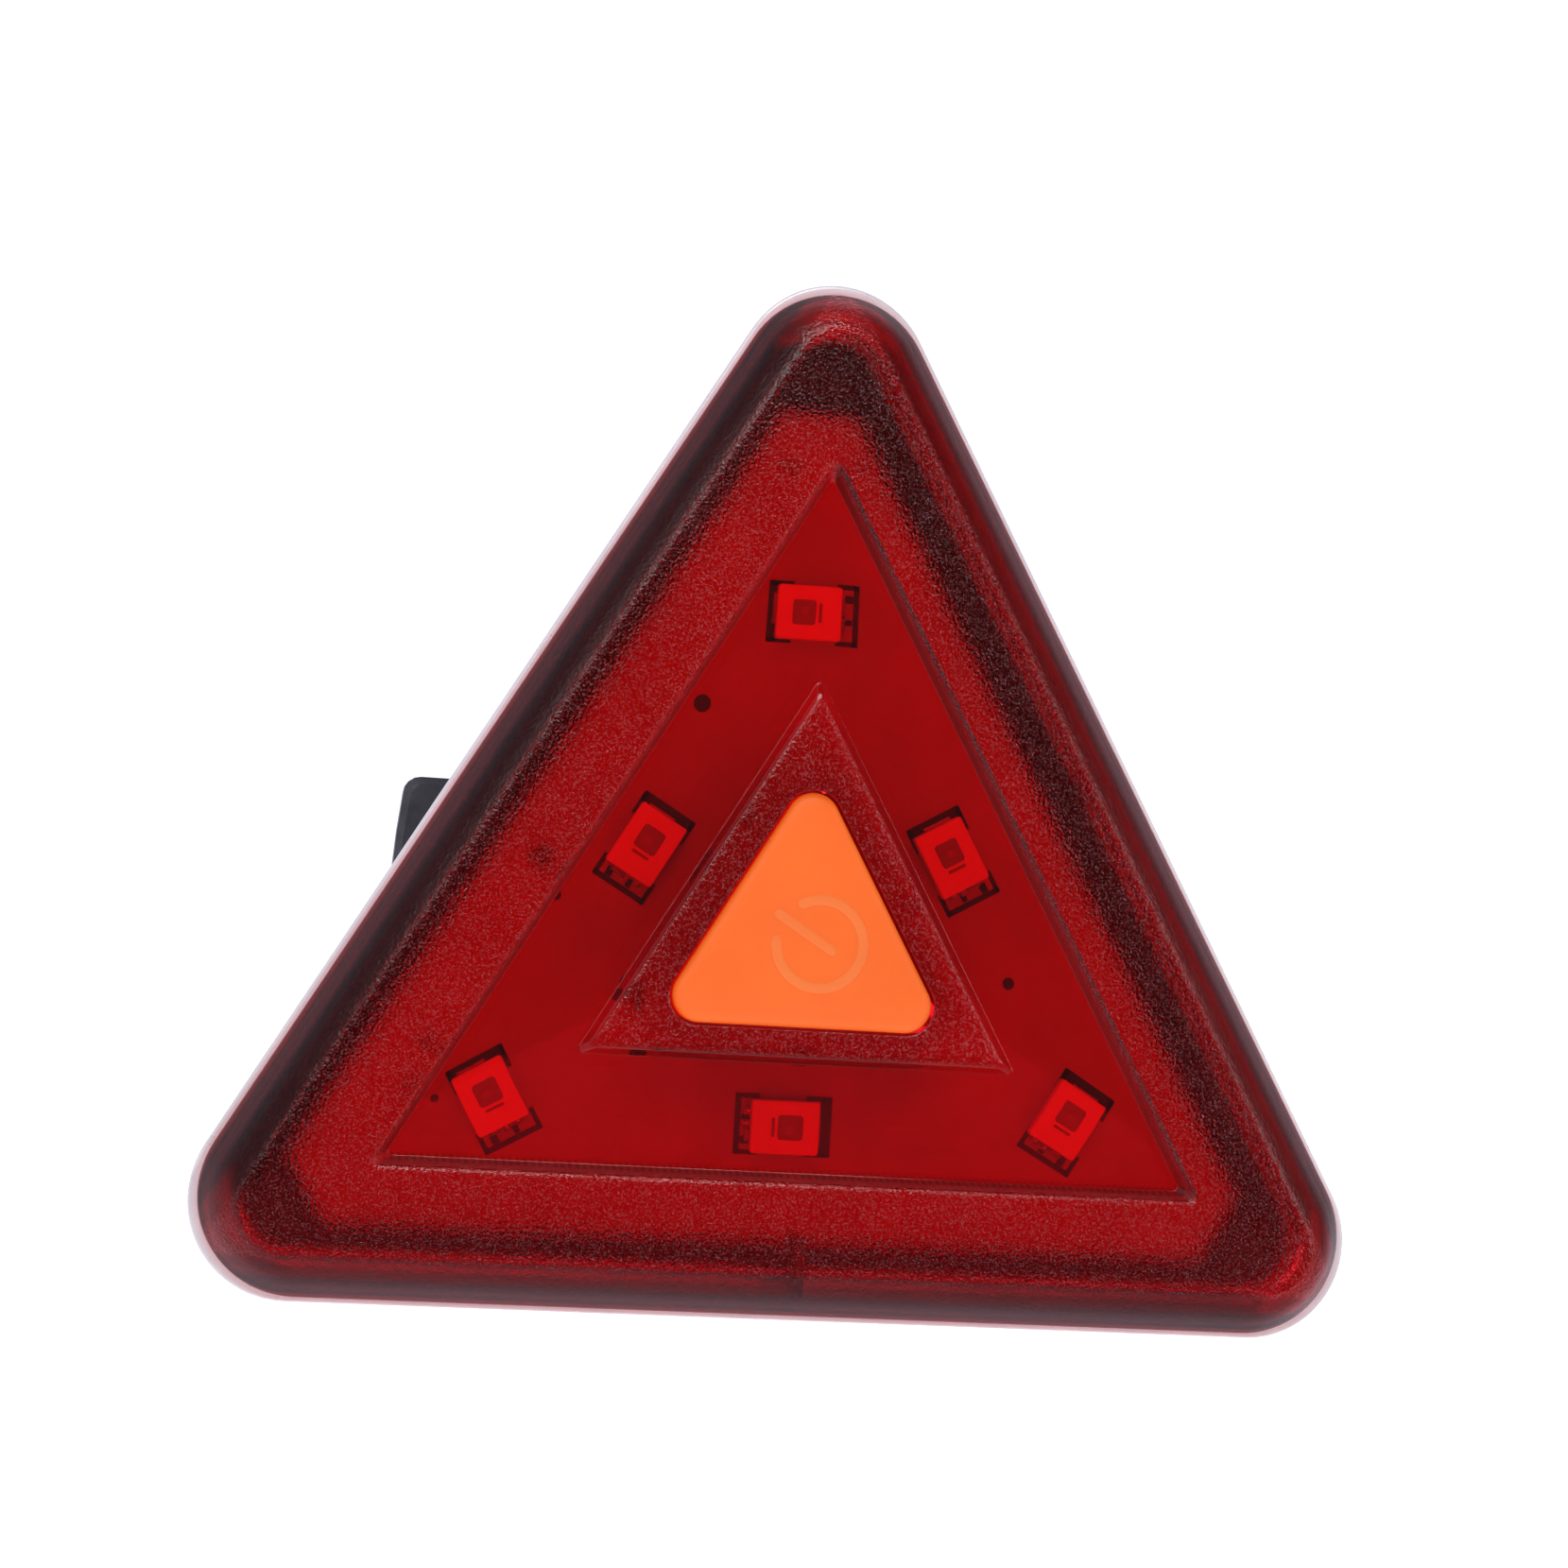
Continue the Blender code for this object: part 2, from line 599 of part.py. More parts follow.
def make_screws():
    """Three cross-head screws that hold the rear cover."""
    for number, turn in enumerate(CORNER_TURNS, 1):
        spot = polar(SCREW_DISTANCE, turn)
        profile = [
            (SCREW_SHANK_R - 0.25 * MM, SCREW_TIP_D),
            (SCREW_SHANK_R, SCREW_THREAD_D),
            (SCREW_SHANK_R, SCREW_HEAD_D),
            (SCREW_HEAD_R, SCREW_HEAD_D),
            (SCREW_HEAD_R, SCREW_EDGE_D),
            (SCREW_HEAD_R - 0.5 * MM, SCREW_TOP_D),
        ]
        screw = paint(turned(f"cover_screw_{number}", profile, spot.x, spot.y), (0.6, 0.6, 0.6), 0.3, 1.0)
        for slot, wide, tall in CROSS_ARMS:
            low = (spot.x - wide, spot.y - tall, CROSS_D)
            high = (spot.x + wide, spot.y + tall, SCREW_TOP_D + 0.5 * MM)
            combine(screw, block(f"{slot}_{number}", low, high), "DIFFERENCE")


def lever_outline(inset=0.0):
    """Lever seen from the front: two straight sides, round corners and bulging ends."""
    half = LEVER_HALF_HEIGHT - inset
    left = LEVER_LEFT_X + inset
    right = LEVER_RIGHT_X - inset
    corner = LEVER_CORNER
    steps = 6
    points = []
    for step in range(steps + 1):
        share = 2 * step / steps - 1
        points.append(Vector((left - LEVER_BULGE * (1 - share * share), -share * (half - corner))))
    for step in range(1, 5):
        points.append(Vector((left + corner, -half + corner)) + polar(corner, 180 + 90 * step / 4))
    for step in range(5):
        points.append(Vector((right - corner, -half + corner)) + polar(corner, 270 + 90 * step / 4))
    for step in range(5):
        points.append(Vector((right - corner, half - corner)) + polar(corner, 90 * step / 4))
    for step in range(4):
        points.append(Vector((left + corner, half - corner)) + polar(corner, 90 + 90 * step / 4))
    return points


def make_lever():
    """Clip lever: finger tab on the left, two lugs on the pin and a toothed jaw on the right."""
    back = LEVER_FRONT_D + LEVER_THICKNESS
    stations = [
        (lever_outline(0.35 * MM), LEVER_FRONT_D, 0.0),
        (lever_outline(), LEVER_FRONT_D + 0.35 * MM, 0.0),
        (lever_outline(), back - 0.6 * MM, 0.0),
        (lever_outline(0.18 * MM), back - 0.18 * MM, 0.0),
        (lever_outline(0.6 * MM), back, 0.0),
    ]
    lever = paint(sweep("clip_lever", stations), (0.03, 0.03, 0.034), 0.45)
    for number, side in enumerate((-1, 1), 1):
        low, high = sorted((side * LUG_INNER, side * LUG_OUTER))
        web = block(
            f"lug_web_{number}",
            (PIVOT_X - EAR_R, low, PIVOT_D),
            (PIVOT_X + EAR_R, high, LEVER_FRONT_D + 0.6 * MM),
        )
        combine(lever, web, "UNION")
        crown = upright_cylinder(f"lug_crown_{number}", EAR_R, PIVOT_X, PIVOT_D, low, high)
        combine(lever, crown, "UNION")
    span = LUG_OUTER + 0.4 * MM
    bore = upright_cylinder("lug_bore", PIN_HOLE_R, PIVOT_X, PIVOT_D, -span, span)
    combine(lever, bore, "DIFFERENCE")
    right = LEVER_RIGHT_X - 0.3 * MM
    tip = SHELL_BACK_D + JAW_GAP
    profile = [
        (right, LEVER_FRONT_D + 0.7 * MM),
        (right - JAW_LENGTH, LEVER_FRONT_D + 0.7 * MM),
        (right - JAW_LENGTH, tip + 1.4 * MM),
        (right - JAW_LENGTH + 0.9 * MM, tip),
        (right - JAW_LENGTH + 1.4 * MM, tip + 0.7 * MM),
        (right - 0.6 * MM, tip),
        (right, tip + 1.0 * MM),
    ]
    combine(lever, slab("clip_jaw", profile, LUG_OUTER), "UNION")


def slab(name, profile, half_height):
    """Solid of one (x, depth) profile, from below to above the middle."""
    builder = bmesh.new()
    bottom = [builder.verts.new(place(x, -half_height, depth)) for x, depth in profile]
    top = [builder.verts.new(place(x, half_height, depth)) for x, depth in profile]
    builder.faces.new(bottom)
    builder.faces.new(top)
    for index in range(len(profile)):
        after = (index + 1) % len(profile)
        builder.faces.new((bottom[index], bottom[after], top[after], top[index]))
    return add_object(name, builder)


def make_pin():
    pin = upright_cylinder("hinge_pin", PIN_R, PIVOT_X, PIVOT_D, -PIN_HALF_LENGTH, PIN_HALF_LENGTH)
    paint(pin, (0.65, 0.65, 0.67), 0.25, 1.0)


def spring_path():
    """Centre line of the spring: a leg on the cover, the coil and a leg on the lever."""
    middle = Vector((PIVOT_X, PIVOT_D))
    half = SPRING_TURNS * SPRING_PITCH / 2
    start = place(SPRING_LEG_X, -half, SHELL_BACK_D + 0.45 * MM)
    points = [start, start.lerp(place(PIVOT_X, -half, PIVOT_D - SPRING_COIL_R), 0.5)]
    steps = SPRING_TURNS * 14 + 7
    for step in range(steps + 1):
        spot = middle + polar(SPRING_COIL_R, -90 + 180 * step / 7)
        rise = SPRING_PITCH * step / 14
        points.append(place(spot.x, rise - half, spot.y))
    tip = place(SPRING_LEG_X, points[-1].z - CENTRE_Z, LEVER_FRONT_D - 0.45 * MM)
    points.append(points[-1].lerp(tip, 0.5))
    points.append(tip)
    return points


def make_spring():
    curve = bpy.data.curves.new("torsion_spring", "CURVE")
    curve.dimensions = "3D"
    curve.bevel_depth = SPRING_WIRE_R
    curve.bevel_resolution = 1
    curve.use_fill_caps = True
    points = spring_path()
    spline = curve.splines.new("POLY")
    spline.points.add(len(points) - 1)
    for slot, point in zip(spline.points, points):
        slot.co = (*point, 1.0)
    spring = bpy.data.objects.new("torsion_spring", curve)
    bpy.context.scene.collection.objects.link(spring)
    paint(spring, (0.55, 0.55, 0.57), 0.3, 1.0)


clear_scene()
make_lens()
make_button()
make_shell()
make_seals()
make_frame()
make_board()
make_leds()
make_switch()
make_rear_components()
make_cell()
make_rear_cover()
make_screws()
make_lever()
make_pin()
make_spring()
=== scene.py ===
"""Looks of the clip-on warning triangle light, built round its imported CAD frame.

Metres, +Z up, lens facing -Y. An "inradius" is the distance from a triangle's middle to its flat sides,
and a "depth" is measured from the lens's front face towards the clip.
"""
import math

import bmesh
import bpy
from mathutils import Matrix, Vector


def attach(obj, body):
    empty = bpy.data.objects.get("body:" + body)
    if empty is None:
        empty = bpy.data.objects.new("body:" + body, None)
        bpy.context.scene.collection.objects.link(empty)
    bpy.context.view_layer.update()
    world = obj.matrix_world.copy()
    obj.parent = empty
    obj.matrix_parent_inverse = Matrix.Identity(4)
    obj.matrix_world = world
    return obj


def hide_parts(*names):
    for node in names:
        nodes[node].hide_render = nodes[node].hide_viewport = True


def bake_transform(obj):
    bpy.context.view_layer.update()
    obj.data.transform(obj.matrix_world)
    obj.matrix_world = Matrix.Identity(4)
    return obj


MM = 0.001
FRONT_Y = -10.5 * MM
CENTRE_Z = 18.95 * MM
CORNER_TURNS = (90, 210, 330)
BOARD_FRONT_D = 6.2 * MM
SHELL_BACK_D = 13.2 * MM
LEVER_FRONT_D = 18.8 * MM
LEVER_BACK_D = 21.0 * MM
PIVOT_X = -8.0 * MM
PIVOT_D = 16.4 * MM
LED_HEIGHT = 0.8 * MM
SOLDER_GAP = 0.03 * MM
SCREW_DISTANCE = 21.5 * MM
CROSS_REACH = 1.05 * MM
CROSS_HALF_WIDTH = 0.2 * MM
SYMBOL_X = 0.6 * MM
SYMBOL_UP = -0.15 * MM
SYMBOL_R = 2.18 * MM
SYMBOL_HALF_WIDTH = 0.25 * MM
BUTTON_FACE_D = 0.12 * MM
SPRING_TURNS = 6
SPRING_PITCH = 0.8 * MM
SPRING_R = 1.75 * MM
SPRING_WIRE_R = 0.3 * MM
SPRING_LEG_END_X = -15.0 * MM

# The lens's profile, in millimetres. Its material uses some of these too.
HOLE_R = 4.45
HOLE_CORNER = 1.47
WINDOW_FOOT_R = 11.54
WINDOW_EDGE_R = 11.96
WINDOW_D = 1.0
FACE_EDGE_R = 16.4
INNER_FACE_D = 2.0
INNER_FACE_R = 16.2
TONGUE_R = 18.0
TONGUE_CORNER = 4.24
TONGUE_INNER_R = 17.4
TONGUE_INNER_CORNER = 3.64
TONGUE_END_D = 4.9

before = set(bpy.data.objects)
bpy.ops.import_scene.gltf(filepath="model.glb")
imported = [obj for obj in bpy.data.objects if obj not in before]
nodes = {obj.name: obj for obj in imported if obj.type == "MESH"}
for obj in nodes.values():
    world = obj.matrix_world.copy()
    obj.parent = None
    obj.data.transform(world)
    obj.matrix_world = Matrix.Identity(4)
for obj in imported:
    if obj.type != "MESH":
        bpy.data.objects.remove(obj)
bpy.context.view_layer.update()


# ---------------------------------------------------------------- shapes


def place(x, up, depth):
    """World point from the distance to the right and above the triangle's middle, and the depth."""
    return Vector((x, FRONT_Y + depth, CENTRE_Z + up))


def polar(distance, degrees):
    angle = math.radians(degrees)
    return Vector((distance * math.cos(angle), distance * math.sin(angle)))


def round_triangle(inradius, corner, steps=20):
    """Outline of a triangle with round corners, point upwards."""
    points = []
    for turn in CORNER_TURNS:
        middle = polar(2 * (inradius - corner), turn)
        for step in range(steps + 1):
            points.append(middle + polar(corner, turn - 60 + 120 * step / steps))
    return points


def round_rectangle(length, width, corner, steps=5):
    """Outline of a rectangle with round corners."""
    points = []
    for turn, sx, sy in ((0, 1, 1), (90, -1, 1), (180, -1, -1), (270, 1, -1)):
        middle = Vector((sx * (length / 2 - corner), sy * (width / 2 - corner)))
        for step in range(steps + 1):
            points.append(middle + polar(corner, turn + 90 * step / steps))
    return points


def finish_mesh(name, builder, degrees=35):
    """Object made from a builder, smooth except at edges sharper than the angle."""
    bmesh.ops.recalc_face_normals(builder, faces=builder.faces)
    mesh = bpy.data.meshes.new(name)
    builder.to_mesh(mesh)
    builder.free()
    mesh.shade_smooth()
    mesh.set_sharp_from_angle(angle=math.radians(degrees))
    item = bpy.data.objects.new(name, mesh)
    bpy.context.scene.collection.objects.link(item)
    return item


def skin(name, loops, ring=False, degrees=35):
    """Mesh through a row of loops of world points, capped at both ends unless it is a ring."""
    builder = bmesh.new()
    rows = [[builder.verts.new(point) for point in loop] for loop in loops]
    pairs = list(zip(rows, rows[1:]))
    if ring:
        pairs.append((rows[-1], rows[0]))
    else:
        builder.faces.new(rows[0])
        builder.faces.new(rows[-1])
    for first, second in pairs:
        count = len(first)
        for index in range(count):
            after = (index + 1) % count
            builder.faces.new((first[index], first[after], second[after], second[index]))
    return finish_mesh(name, builder, degrees)


def soften(rows, ring=False, steps=3):
    """Round each row of a profile by its last number. The other numbers are blended along a curve."""
    count = len(rows)
    made = []
    for index, row in enumerate(rows):
        here = row[:-1]
        radius = row[-1]
        if radius <= 0 or (not ring and index in (0, count - 1)):
            made.append(here)
            continue
        before = rows[index - 1][:-1]
        after = rows[(index + 1) % count][:-1]
        start = toward(here, before, radius)
        end = toward(here, after, radius)
        for step in range(steps + 1):
            t = step / steps
            weights = ((1 - t) ** 2, 2 * t * (1 - t), t * t)
            made.append(tuple(sum(w * p for w, p in zip(weights, part)) for part in zip(start, here, end)))
    return made


def toward(here, other, distance):
    """The numbers of a profile row moved a distance towards another row's."""
    length = math.hypot(other[0] - here[0], other[2] - here[2])
    share = min(0.48, distance / max(length, 1e-9))
    return tuple(a + (b - a) * share for a, b in zip(here, other))


def triangle_sweep(name, rows, ring=False, steps=20, rounding=3):
    """Skin through (inradius, corner, depth, lift, rounding) rows, in millimetres."""
    loops = []
    for radius, corner, depth, lift in soften(rows, ring, rounding):
        outline = round_triangle(radius * MM, max(corner, 0.02) * MM, steps)
        loops.append([place(p.x, p.y + lift * MM, depth * MM) for p in outline])
    return skin(name, loops, ring)


def join(name, parts):
    """Put several meshes in one object."""
    builder = bmesh.new()
    for part in parts:
        part.data.transform(part.matrix_world)
        builder.from_mesh(part.data)
        bpy.data.objects.remove(part, do_unlink=True)
    return finish_mesh(name, builder)


def rounded_box(name, low, high, edge):
    """Box between two (x, up, depth) corners with rounded edges."""
    builder = bmesh.new()
    a = place(*low)
    b = place(*high)
    size = b - a
    matrix = Matrix.Translation((a + b) / 2) @ Matrix.Diagonal((*size, 1.0))
    bmesh.ops.create_cube(builder, size=1.0, matrix=matrix)
    bmesh.ops.bevel(builder, geom=builder.edges[:], offset=edge, segments=3, profile=0.5, affect="EDGES")
    return finish_mesh(name, builder)


def turned(name, profile, x, up, steps=40):
    """Solid turned about a line along the depth, from (radius, depth, rounding) in millimetres."""
    rows = [(radius, 0.0, depth, rounding) for radius, depth, rounding in profile]
    loops = []
    for radius, _, depth in soften(rows):
        circle = [polar(radius * MM, 360 * step / steps) for step in range(steps)]
        loops.append([place(x + p.x, up + p.y, depth * MM) for p in circle])
    return skin(name, loops)


def tube(name, points, radius, sides=10):
    """Wire of one thickness along a row of points."""
    loops = []
    normal = None
    for index, point in enumerate(points):
        before = points[max(index - 1, 0)]
        after = points[min(index + 1, len(points) - 1)]
        along = (after - before).normalized()
        if normal is None:
            normal = along.orthogonal().normalized()
        normal = (normal - along * normal.dot(along)).normalized()
        side = along.cross(normal)
        loop = []
        for step in range(sides):
            angle = 2 * math.pi * step / sides
            loop.append(point + (normal * math.cos(angle) + side * math.sin(angle)) * radius)
        loops.append(loop)
    return skin(name, loops, degrees=60)


# ---------------------------------------------------------------- materials


class Graph:
    """A material and short ways to add nodes to it."""

    def __init__(self, name):
        self.material = bpy.data.materials.new(name)
        self.material.use_nodes = True
        self.tree = self.material.node_tree
        self.shader = self.tree.nodes["Principled BSDF"]
        self.output = self.tree.nodes["Material Output"]
        self.place = self.node("ShaderNodeTexCoord").outputs["Object"]

    def put(self, socket, value):
        if isinstance(value, bpy.types.NodeSocket):
            self.tree.links.new(value, socket)
        elif isinstance(value, tuple) and len(value) == 3 and socket.type == "RGBA":
            socket.default_value = (*value, 1.0)
        else:
            socket.default_value = value

    def node(self, kind, inputs=None, **settings):
        made = self.tree.nodes.new(kind)
        for name, value in settings.items():
            setattr(made, name, value)
        for key, value in (inputs or {}).items():
            self.put(made.inputs[key], value)
        return made

    def math(self, operation, a, b=0.0, clamp=False):
        return self.node("ShaderNodeMath", {0: a, 1: b}, operation=operation, use_clamp=clamp).outputs[0]

    def noise(self, scale, detail=2.0, roughness=0.5, distortion=0.0, where=None):
        inputs = {
            "Vector": where or self.place,
            "Scale": scale,
            "Detail": detail,
            "Roughness": roughness,
            "Distortion": distortion,
        }
        return self.node("ShaderNodeTexNoise", inputs).outputs[0]

    def cells(self, scale):
        inputs = {"Vector": self.place, "Scale": scale}
        return self.node("ShaderNodeTexVoronoi", inputs).outputs["Distance"]

    def times(self, a, b):
        return self.math("MULTIPLY", a, b)

    def between(self, value, low, high):
        """1 where the value lies between the two, 0 elsewhere."""
        return self.times(self.math("GREATER_THAN", value, low), self.math("LESS_THAN", value, high))

    def ranged(self, value, low, high, to_low=0.0, to_high=1.0, smooth=False):
        kind = "SMOOTHSTEP" if smooth else "LINEAR"
        inputs = {0: value, 1: low, 2: high, 3: to_low, 4: to_high}
        return self.node("ShaderNodeMapRange", inputs, interpolation_type=kind).outputs[0]

    def mix(self, share, a, b):
        made = self.node("ShaderNodeMix", {0: share, 6: a, 7: b}, data_type="RGBA")
        return made.outputs[2]

    def stretched(self, x, y, z):
        made = self.node("ShaderNodeMapping", {0: self.place}, vector_type="POINT")
        made.inputs[3].default_value = (x, y, z)
        return made.outputs[0]

    def bump(self, height, strength, distance, normal=None):
        inputs = {"Strength": strength, "Distance": distance, "Height": height}
        if normal is not None:
            inputs["Normal"] = normal
        return self.node("ShaderNodeBump", inputs).outputs[0]

    def edges(self):
        return self.node("ShaderNodeNewGeometry").outputs["Pointiness"]

    def set(self, **inputs):
        for name, value in inputs.items():
            self.put(self.shader.inputs[name.replace("_", " ")], value)
        return self.material


def moulded(name, dark, light, rough, grain, depth, worn=None):
    """Moulded plastic: clouded colour, fine spark-eroded grain, rubbed edges."""
    g = Graph(name)
    colour = g.mix(g.ranged(g.noise(160, 3), 0.3, 0.7), dark, light)
    if worn:
        rubbed = g.times(g.ranged(g.edges(), 0.52, 0.6), g.ranged(g.noise(900, 3), 0.35, 0.65))
        colour = g.mix(g.times(rubbed, 0.7), colour, worn)
    shine = g.ranged(g.noise(420, 4), 0.25, 0.75, rough - 0.07, rough + 0.07)
    fine = g.noise(grain, 3, 0.6)
    broad = g.noise(300, 2)
    normal = g.bump(fine, 0.5, depth, g.bump(broad, 0.15, 0.00005))
    return g.set(Base_Color=colour, Roughness=shine, Normal=normal)


def metal(name, dark, light, rough, stretch):
    """Drawn or ground metal: lengthwise scratches and faint stains."""
    g = Graph(name)
    lines = g.noise(1200, 4, 0.6, where=g.stretched(*stretch))
    stain = g.noise(260, 3)
    colour = g.mix(g.ranged(stain, 0.35, 0.75), light, dark)
    scratched = g.ranged(lines, 0.3, 0.7, rough - 0.08, rough + 0.1)
    shine = g.math("ADD", scratched, g.ranged(stain, 0.5, 0.8, 0.0, 0.08))
    normal = g.bump(lines, 0.25, 0.00002)
    return g.set(Base_Color=colour, Roughness=shine, Normal=normal, Metallic=1.0)


def inradius_of(g):
    """A point's place right of and above the middle, its depth and its inradius, in millimetres."""
    parts = g.node("ShaderNodeSeparateXYZ", {0: g.place}).outputs
    x = g.times(parts[0], 1 / MM)
    up = g.math("SUBTRACT", g.times(parts[2], 1 / MM), CENTRE_Z / MM)
    depth = g.math("SUBTRACT", g.times(parts[1], 1 / MM), FRONT_Y / MM)
    half_up = g.times(up, 0.5)
    side = g.times(g.math("ABSOLUTE", x), math.cos(math.radians(30)))
    radius = g.math("MAXIMUM", g.math("ADD", side, half_up), g.times(up, -1.0))
    return x, up, depth, radius


def lens_material():
    """Red clear plastic. Grained outside, polished in the window and behind."""
    g = Graph("lens_red")
    x, up, depth, radius = inradius_of(g)
    in_window = g.times(
        g.math("LESS_THAN", radius, WINDOW_EDGE_R + 0.04),
        g.math("GREATER_THAN", depth, 0.52 * WINDOW_D),
    )
    behind = g.math("GREATER_THAN", depth, INNER_FACE_D - 0.03)
    grained = g.math("SUBTRACT", 1.0, g.math("MAXIMUM", in_window, behind))
    slope = g.ranged(radius, FACE_EDGE_R + 0.05, FACE_EDGE_R + 0.4, smooth=True)
    normal = lens_grain(g, grained, slope)
    rough = lens_roughness(g, radius, depth, grained, slope)
    outer_wall = g.times(g.ranged(radius, 17.3, 17.7, smooth=True), g.math("SUBTRACT", 1.0, behind))
    tint = lens_tint(g, slope, outer_wall, window_foot_notch_shade(g, x, up, depth, radius))
    g.set(Base_Color=tint, Roughness=rough, Normal=normal)
    g.shader.inputs["Transmission Weight"].default_value = 1.0
    g.shader.inputs["IOR"].default_value = 1.49
    # Pale diffuse paint mixed into the grained skin: painted glints and painted sheen.
    glint_share = lens_painted_glints(g, grained, slope, in_window)
    glint_paint = g.node("ShaderNodeBsdfDiffuse", {0: (0.62, 0.3, 0.33)})
    skin_mix = g.node("ShaderNodeMixShader", {0: glint_share, 1: g.shader.outputs[0], 2: glint_paint.outputs[0]})
    clear = g.node("ShaderNodeBsdfTransparent", {0: (0.92, 0.1, 0.12)})
    path = g.node("ShaderNodeLightPath")
    through = g.math("MAXIMUM", path.outputs["Is Shadow Ray"], path.outputs["Is Diffuse Ray"])
    mixed = g.node("ShaderNodeMixShader", {0: through, 1: skin_mix.outputs[0], 2: clear.outputs[0]})
    g.tree.links.new(mixed.outputs[0], g.output.inputs[0])
    return g.material


def lens_grain(g, grained, slope):
    """Fine moulded grain on the face, fainter on the sloped border, over broad slow waves."""
    grain = g.math("ADD", g.noise(6200, 2, 0.5, 0.3), g.times(g.cells(4700), 0.4))
    strength = g.times(grained, g.ranged(slope, 0.0, 1.0, 0.85, 0.2))
    return g.bump(g.noise(240, 2), 0.08, 0.0001, g.bump(grain, strength, 0.00006))


def lens_roughness(g, radius, depth, grained, slope):
    """Duller where it is grained and on the window's wall, with a slight unevenness all over."""
    wall = g.times(g.between(radius, 11.5, 11.9), g.math("LESS_THAN", depth, WINDOW_D - 0.03))
    rough = g.ranged(grained, 0.0, 1.0, 0.04, 0.13)
    rough = g.math("ADD", rough, g.times(slope, 0.06))
    rough = g.math("ADD", rough, g.times(wall, 0.3))
    return g.math("ADD", rough, g.ranged(g.noise(700, 4), 0.4, 0.8, 0.0, 0.04))


def window_foot_notch_shade(g, x, up, depth, radius):
    """Row of small dark dots along the foot of the window's lower wall: painted shade of a row of small
    notches there.
    """
    notch_shade = g.ranged(g.math("PINGPONG", x, 0.18), 0.06, 0.12)
    foot = g.times(g.between(radius, 11.45, 11.72), g.math("LESS_THAN", up, -11.3))
    foot = g.times(foot, g.math("GREATER_THAN", depth, 0.5 * WINDOW_D))
    return g.times(foot, notch_shade)


def lens_tint(g, slope, outer_wall, notch_shade):
    """Clear red with faint flow streaks, deeper through the border and the outer wall, and darker in the
    painted notch shade at the window's foot.
    """
    streak = g.noise(500, 3, where=g.stretched(1.0, 1.0, 0.25))
    tint = g.mix(g.ranged(streak, 0.3, 0.7), (0.84, 0.012, 0.026), (0.8, 0.008, 0.018))
    tint = g.mix(g.times(slope, 0.5), tint, (0.2, 0.003, 0.009))
    tint = g.mix(outer_wall, tint, (0.09, 0.002, 0.008))
    # Painted shade of the small notches at the window's foot.
    return g.mix(g.times(notch_shade, 0.6), tint, (0.25, 0.003, 0.005))


def lens_painted_glints(g, grained, slope, in_window):
    """Share of pale diffuse paint: painted sheen on the grain's crests, painted glints in scattered
    specks, and a thin haze in the window.
    """
    crest = g.ranged(g.noise(10500, 1), 0.54, 0.68)
    speck = g.ranged(g.cells(4600), 0.08, 0.18, 1.0, 0.0)
    speck = g.times(speck, g.ranged(g.noise(2600, 1), 0.5, 0.6))
    glint_share = g.math("ADD", g.times(crest, 0.1), g.times(speck, 0.25), clamp=True)
    glint_share = g.times(g.times(glint_share, grained), g.ranged(slope, 0.0, 1.0, 1.0, 0.25))
    return g.math("ADD", glint_share, g.times(in_window, 0.008))


def shell_material():
    """Silver lacquer on plastic: fine flakes, a slight orange peel and paler rubbed edges."""
    g = Graph("shell_silver")
    flakes = g.cells(9000)
    cloud = g.noise(180, 3)
    colour = g.mix(g.ranged(cloud, 0.3, 0.7), (0.7, 0.66, 0.7), (0.78, 0.74, 0.78))
    colour = g.mix(g.ranged(flakes, 0.2, 0.7, 0.0, 0.25), colour, (0.6, 0.57, 0.6))
    rubbed = g.times(g.ranged(g.edges(), 0.53, 0.6), g.ranged(g.noise(900, 3), 0.4, 0.7))
    colour = g.mix(g.times(rubbed, 0.5), colour, (0.93, 0.91, 0.93))
    shine = g.ranged(g.noise(420, 4), 0.25, 0.75, 0.26, 0.38)
    metallic = g.ranged(flakes, 0.1, 0.6, 0.3, 0.15)
    normal = g.bump(g.noise(900, 2), 0.12, 0.00004, g.bump(flakes, 0.15, 0.00001))
    return g.set(Base_Color=colour, Roughness=shine, Normal=normal, Metallic=metallic)


def silicone_material(name, dark, light):
    """Soft orange silicone with a very fine matt skin."""
    g = Graph(name)
    colour = g.mix(g.ranged(g.noise(190, 3), 0.3, 0.7), dark, light)
    *_, radius = inradius_of(g)
    rim = g.ranged(radius, 3.7, 4.3, smooth=True)
    colour = g.mix(g.times(rim, 0.3), colour, (1.0, 0.2, 0.03))
    rough = g.ranged(g.noise(900, 3), 0.3, 0.7, 0.48, 0.6)
    normal = g.bump(g.noise(9000, 2), 0.12, 0.00003, g.bump(g.noise(500, 2), 0.1, 0.00005))
    g.set(Base_Color=colour, Roughness=rough, Normal=normal)
    g.shader.inputs["Subsurface Weight"].default_value = 0.15
    g.shader.inputs["Subsurface Radius"].default_value = (0.0012, 0.0005, 0.0002)
    g.shader.inputs["Subsurface Scale"].default_value = 1.0
    return g.material


def board_material():
    """Pale solder mask over copper: slight unevenness and faint covered tracks."""
    g = Graph("solder_mask")
    *_, radius = inradius_of(g)
    lanes = g.math("PINGPONG", g.math("ADD", radius, g.times(g.noise(60, 0), 0.6)), 0.65)
    patch = g.ranged(g.noise(110, 1), 0.48, 0.52)
    track = g.times(g.ranged(lanes, 0.5, 0.58, smooth=True), patch)
    base = g.mix(g.ranged(g.noise(300, 4), 0.3, 0.7), (0.36, 0.36, 0.34), (0.42, 0.42, 0.4))
    colour = g.mix(g.times(track, 0.12), base, (0.36, 0.37, 0.33))
    rough = g.ranged(g.noise(1500, 3), 0.3, 0.7, 0.35, 0.5)
    normal = g.bump(track, 0.2, 0.00004, g.bump(g.noise(2500, 3), 0.15, 0.00003))
    return g.set(Base_Color=colour, Roughness=rough, Normal=normal)


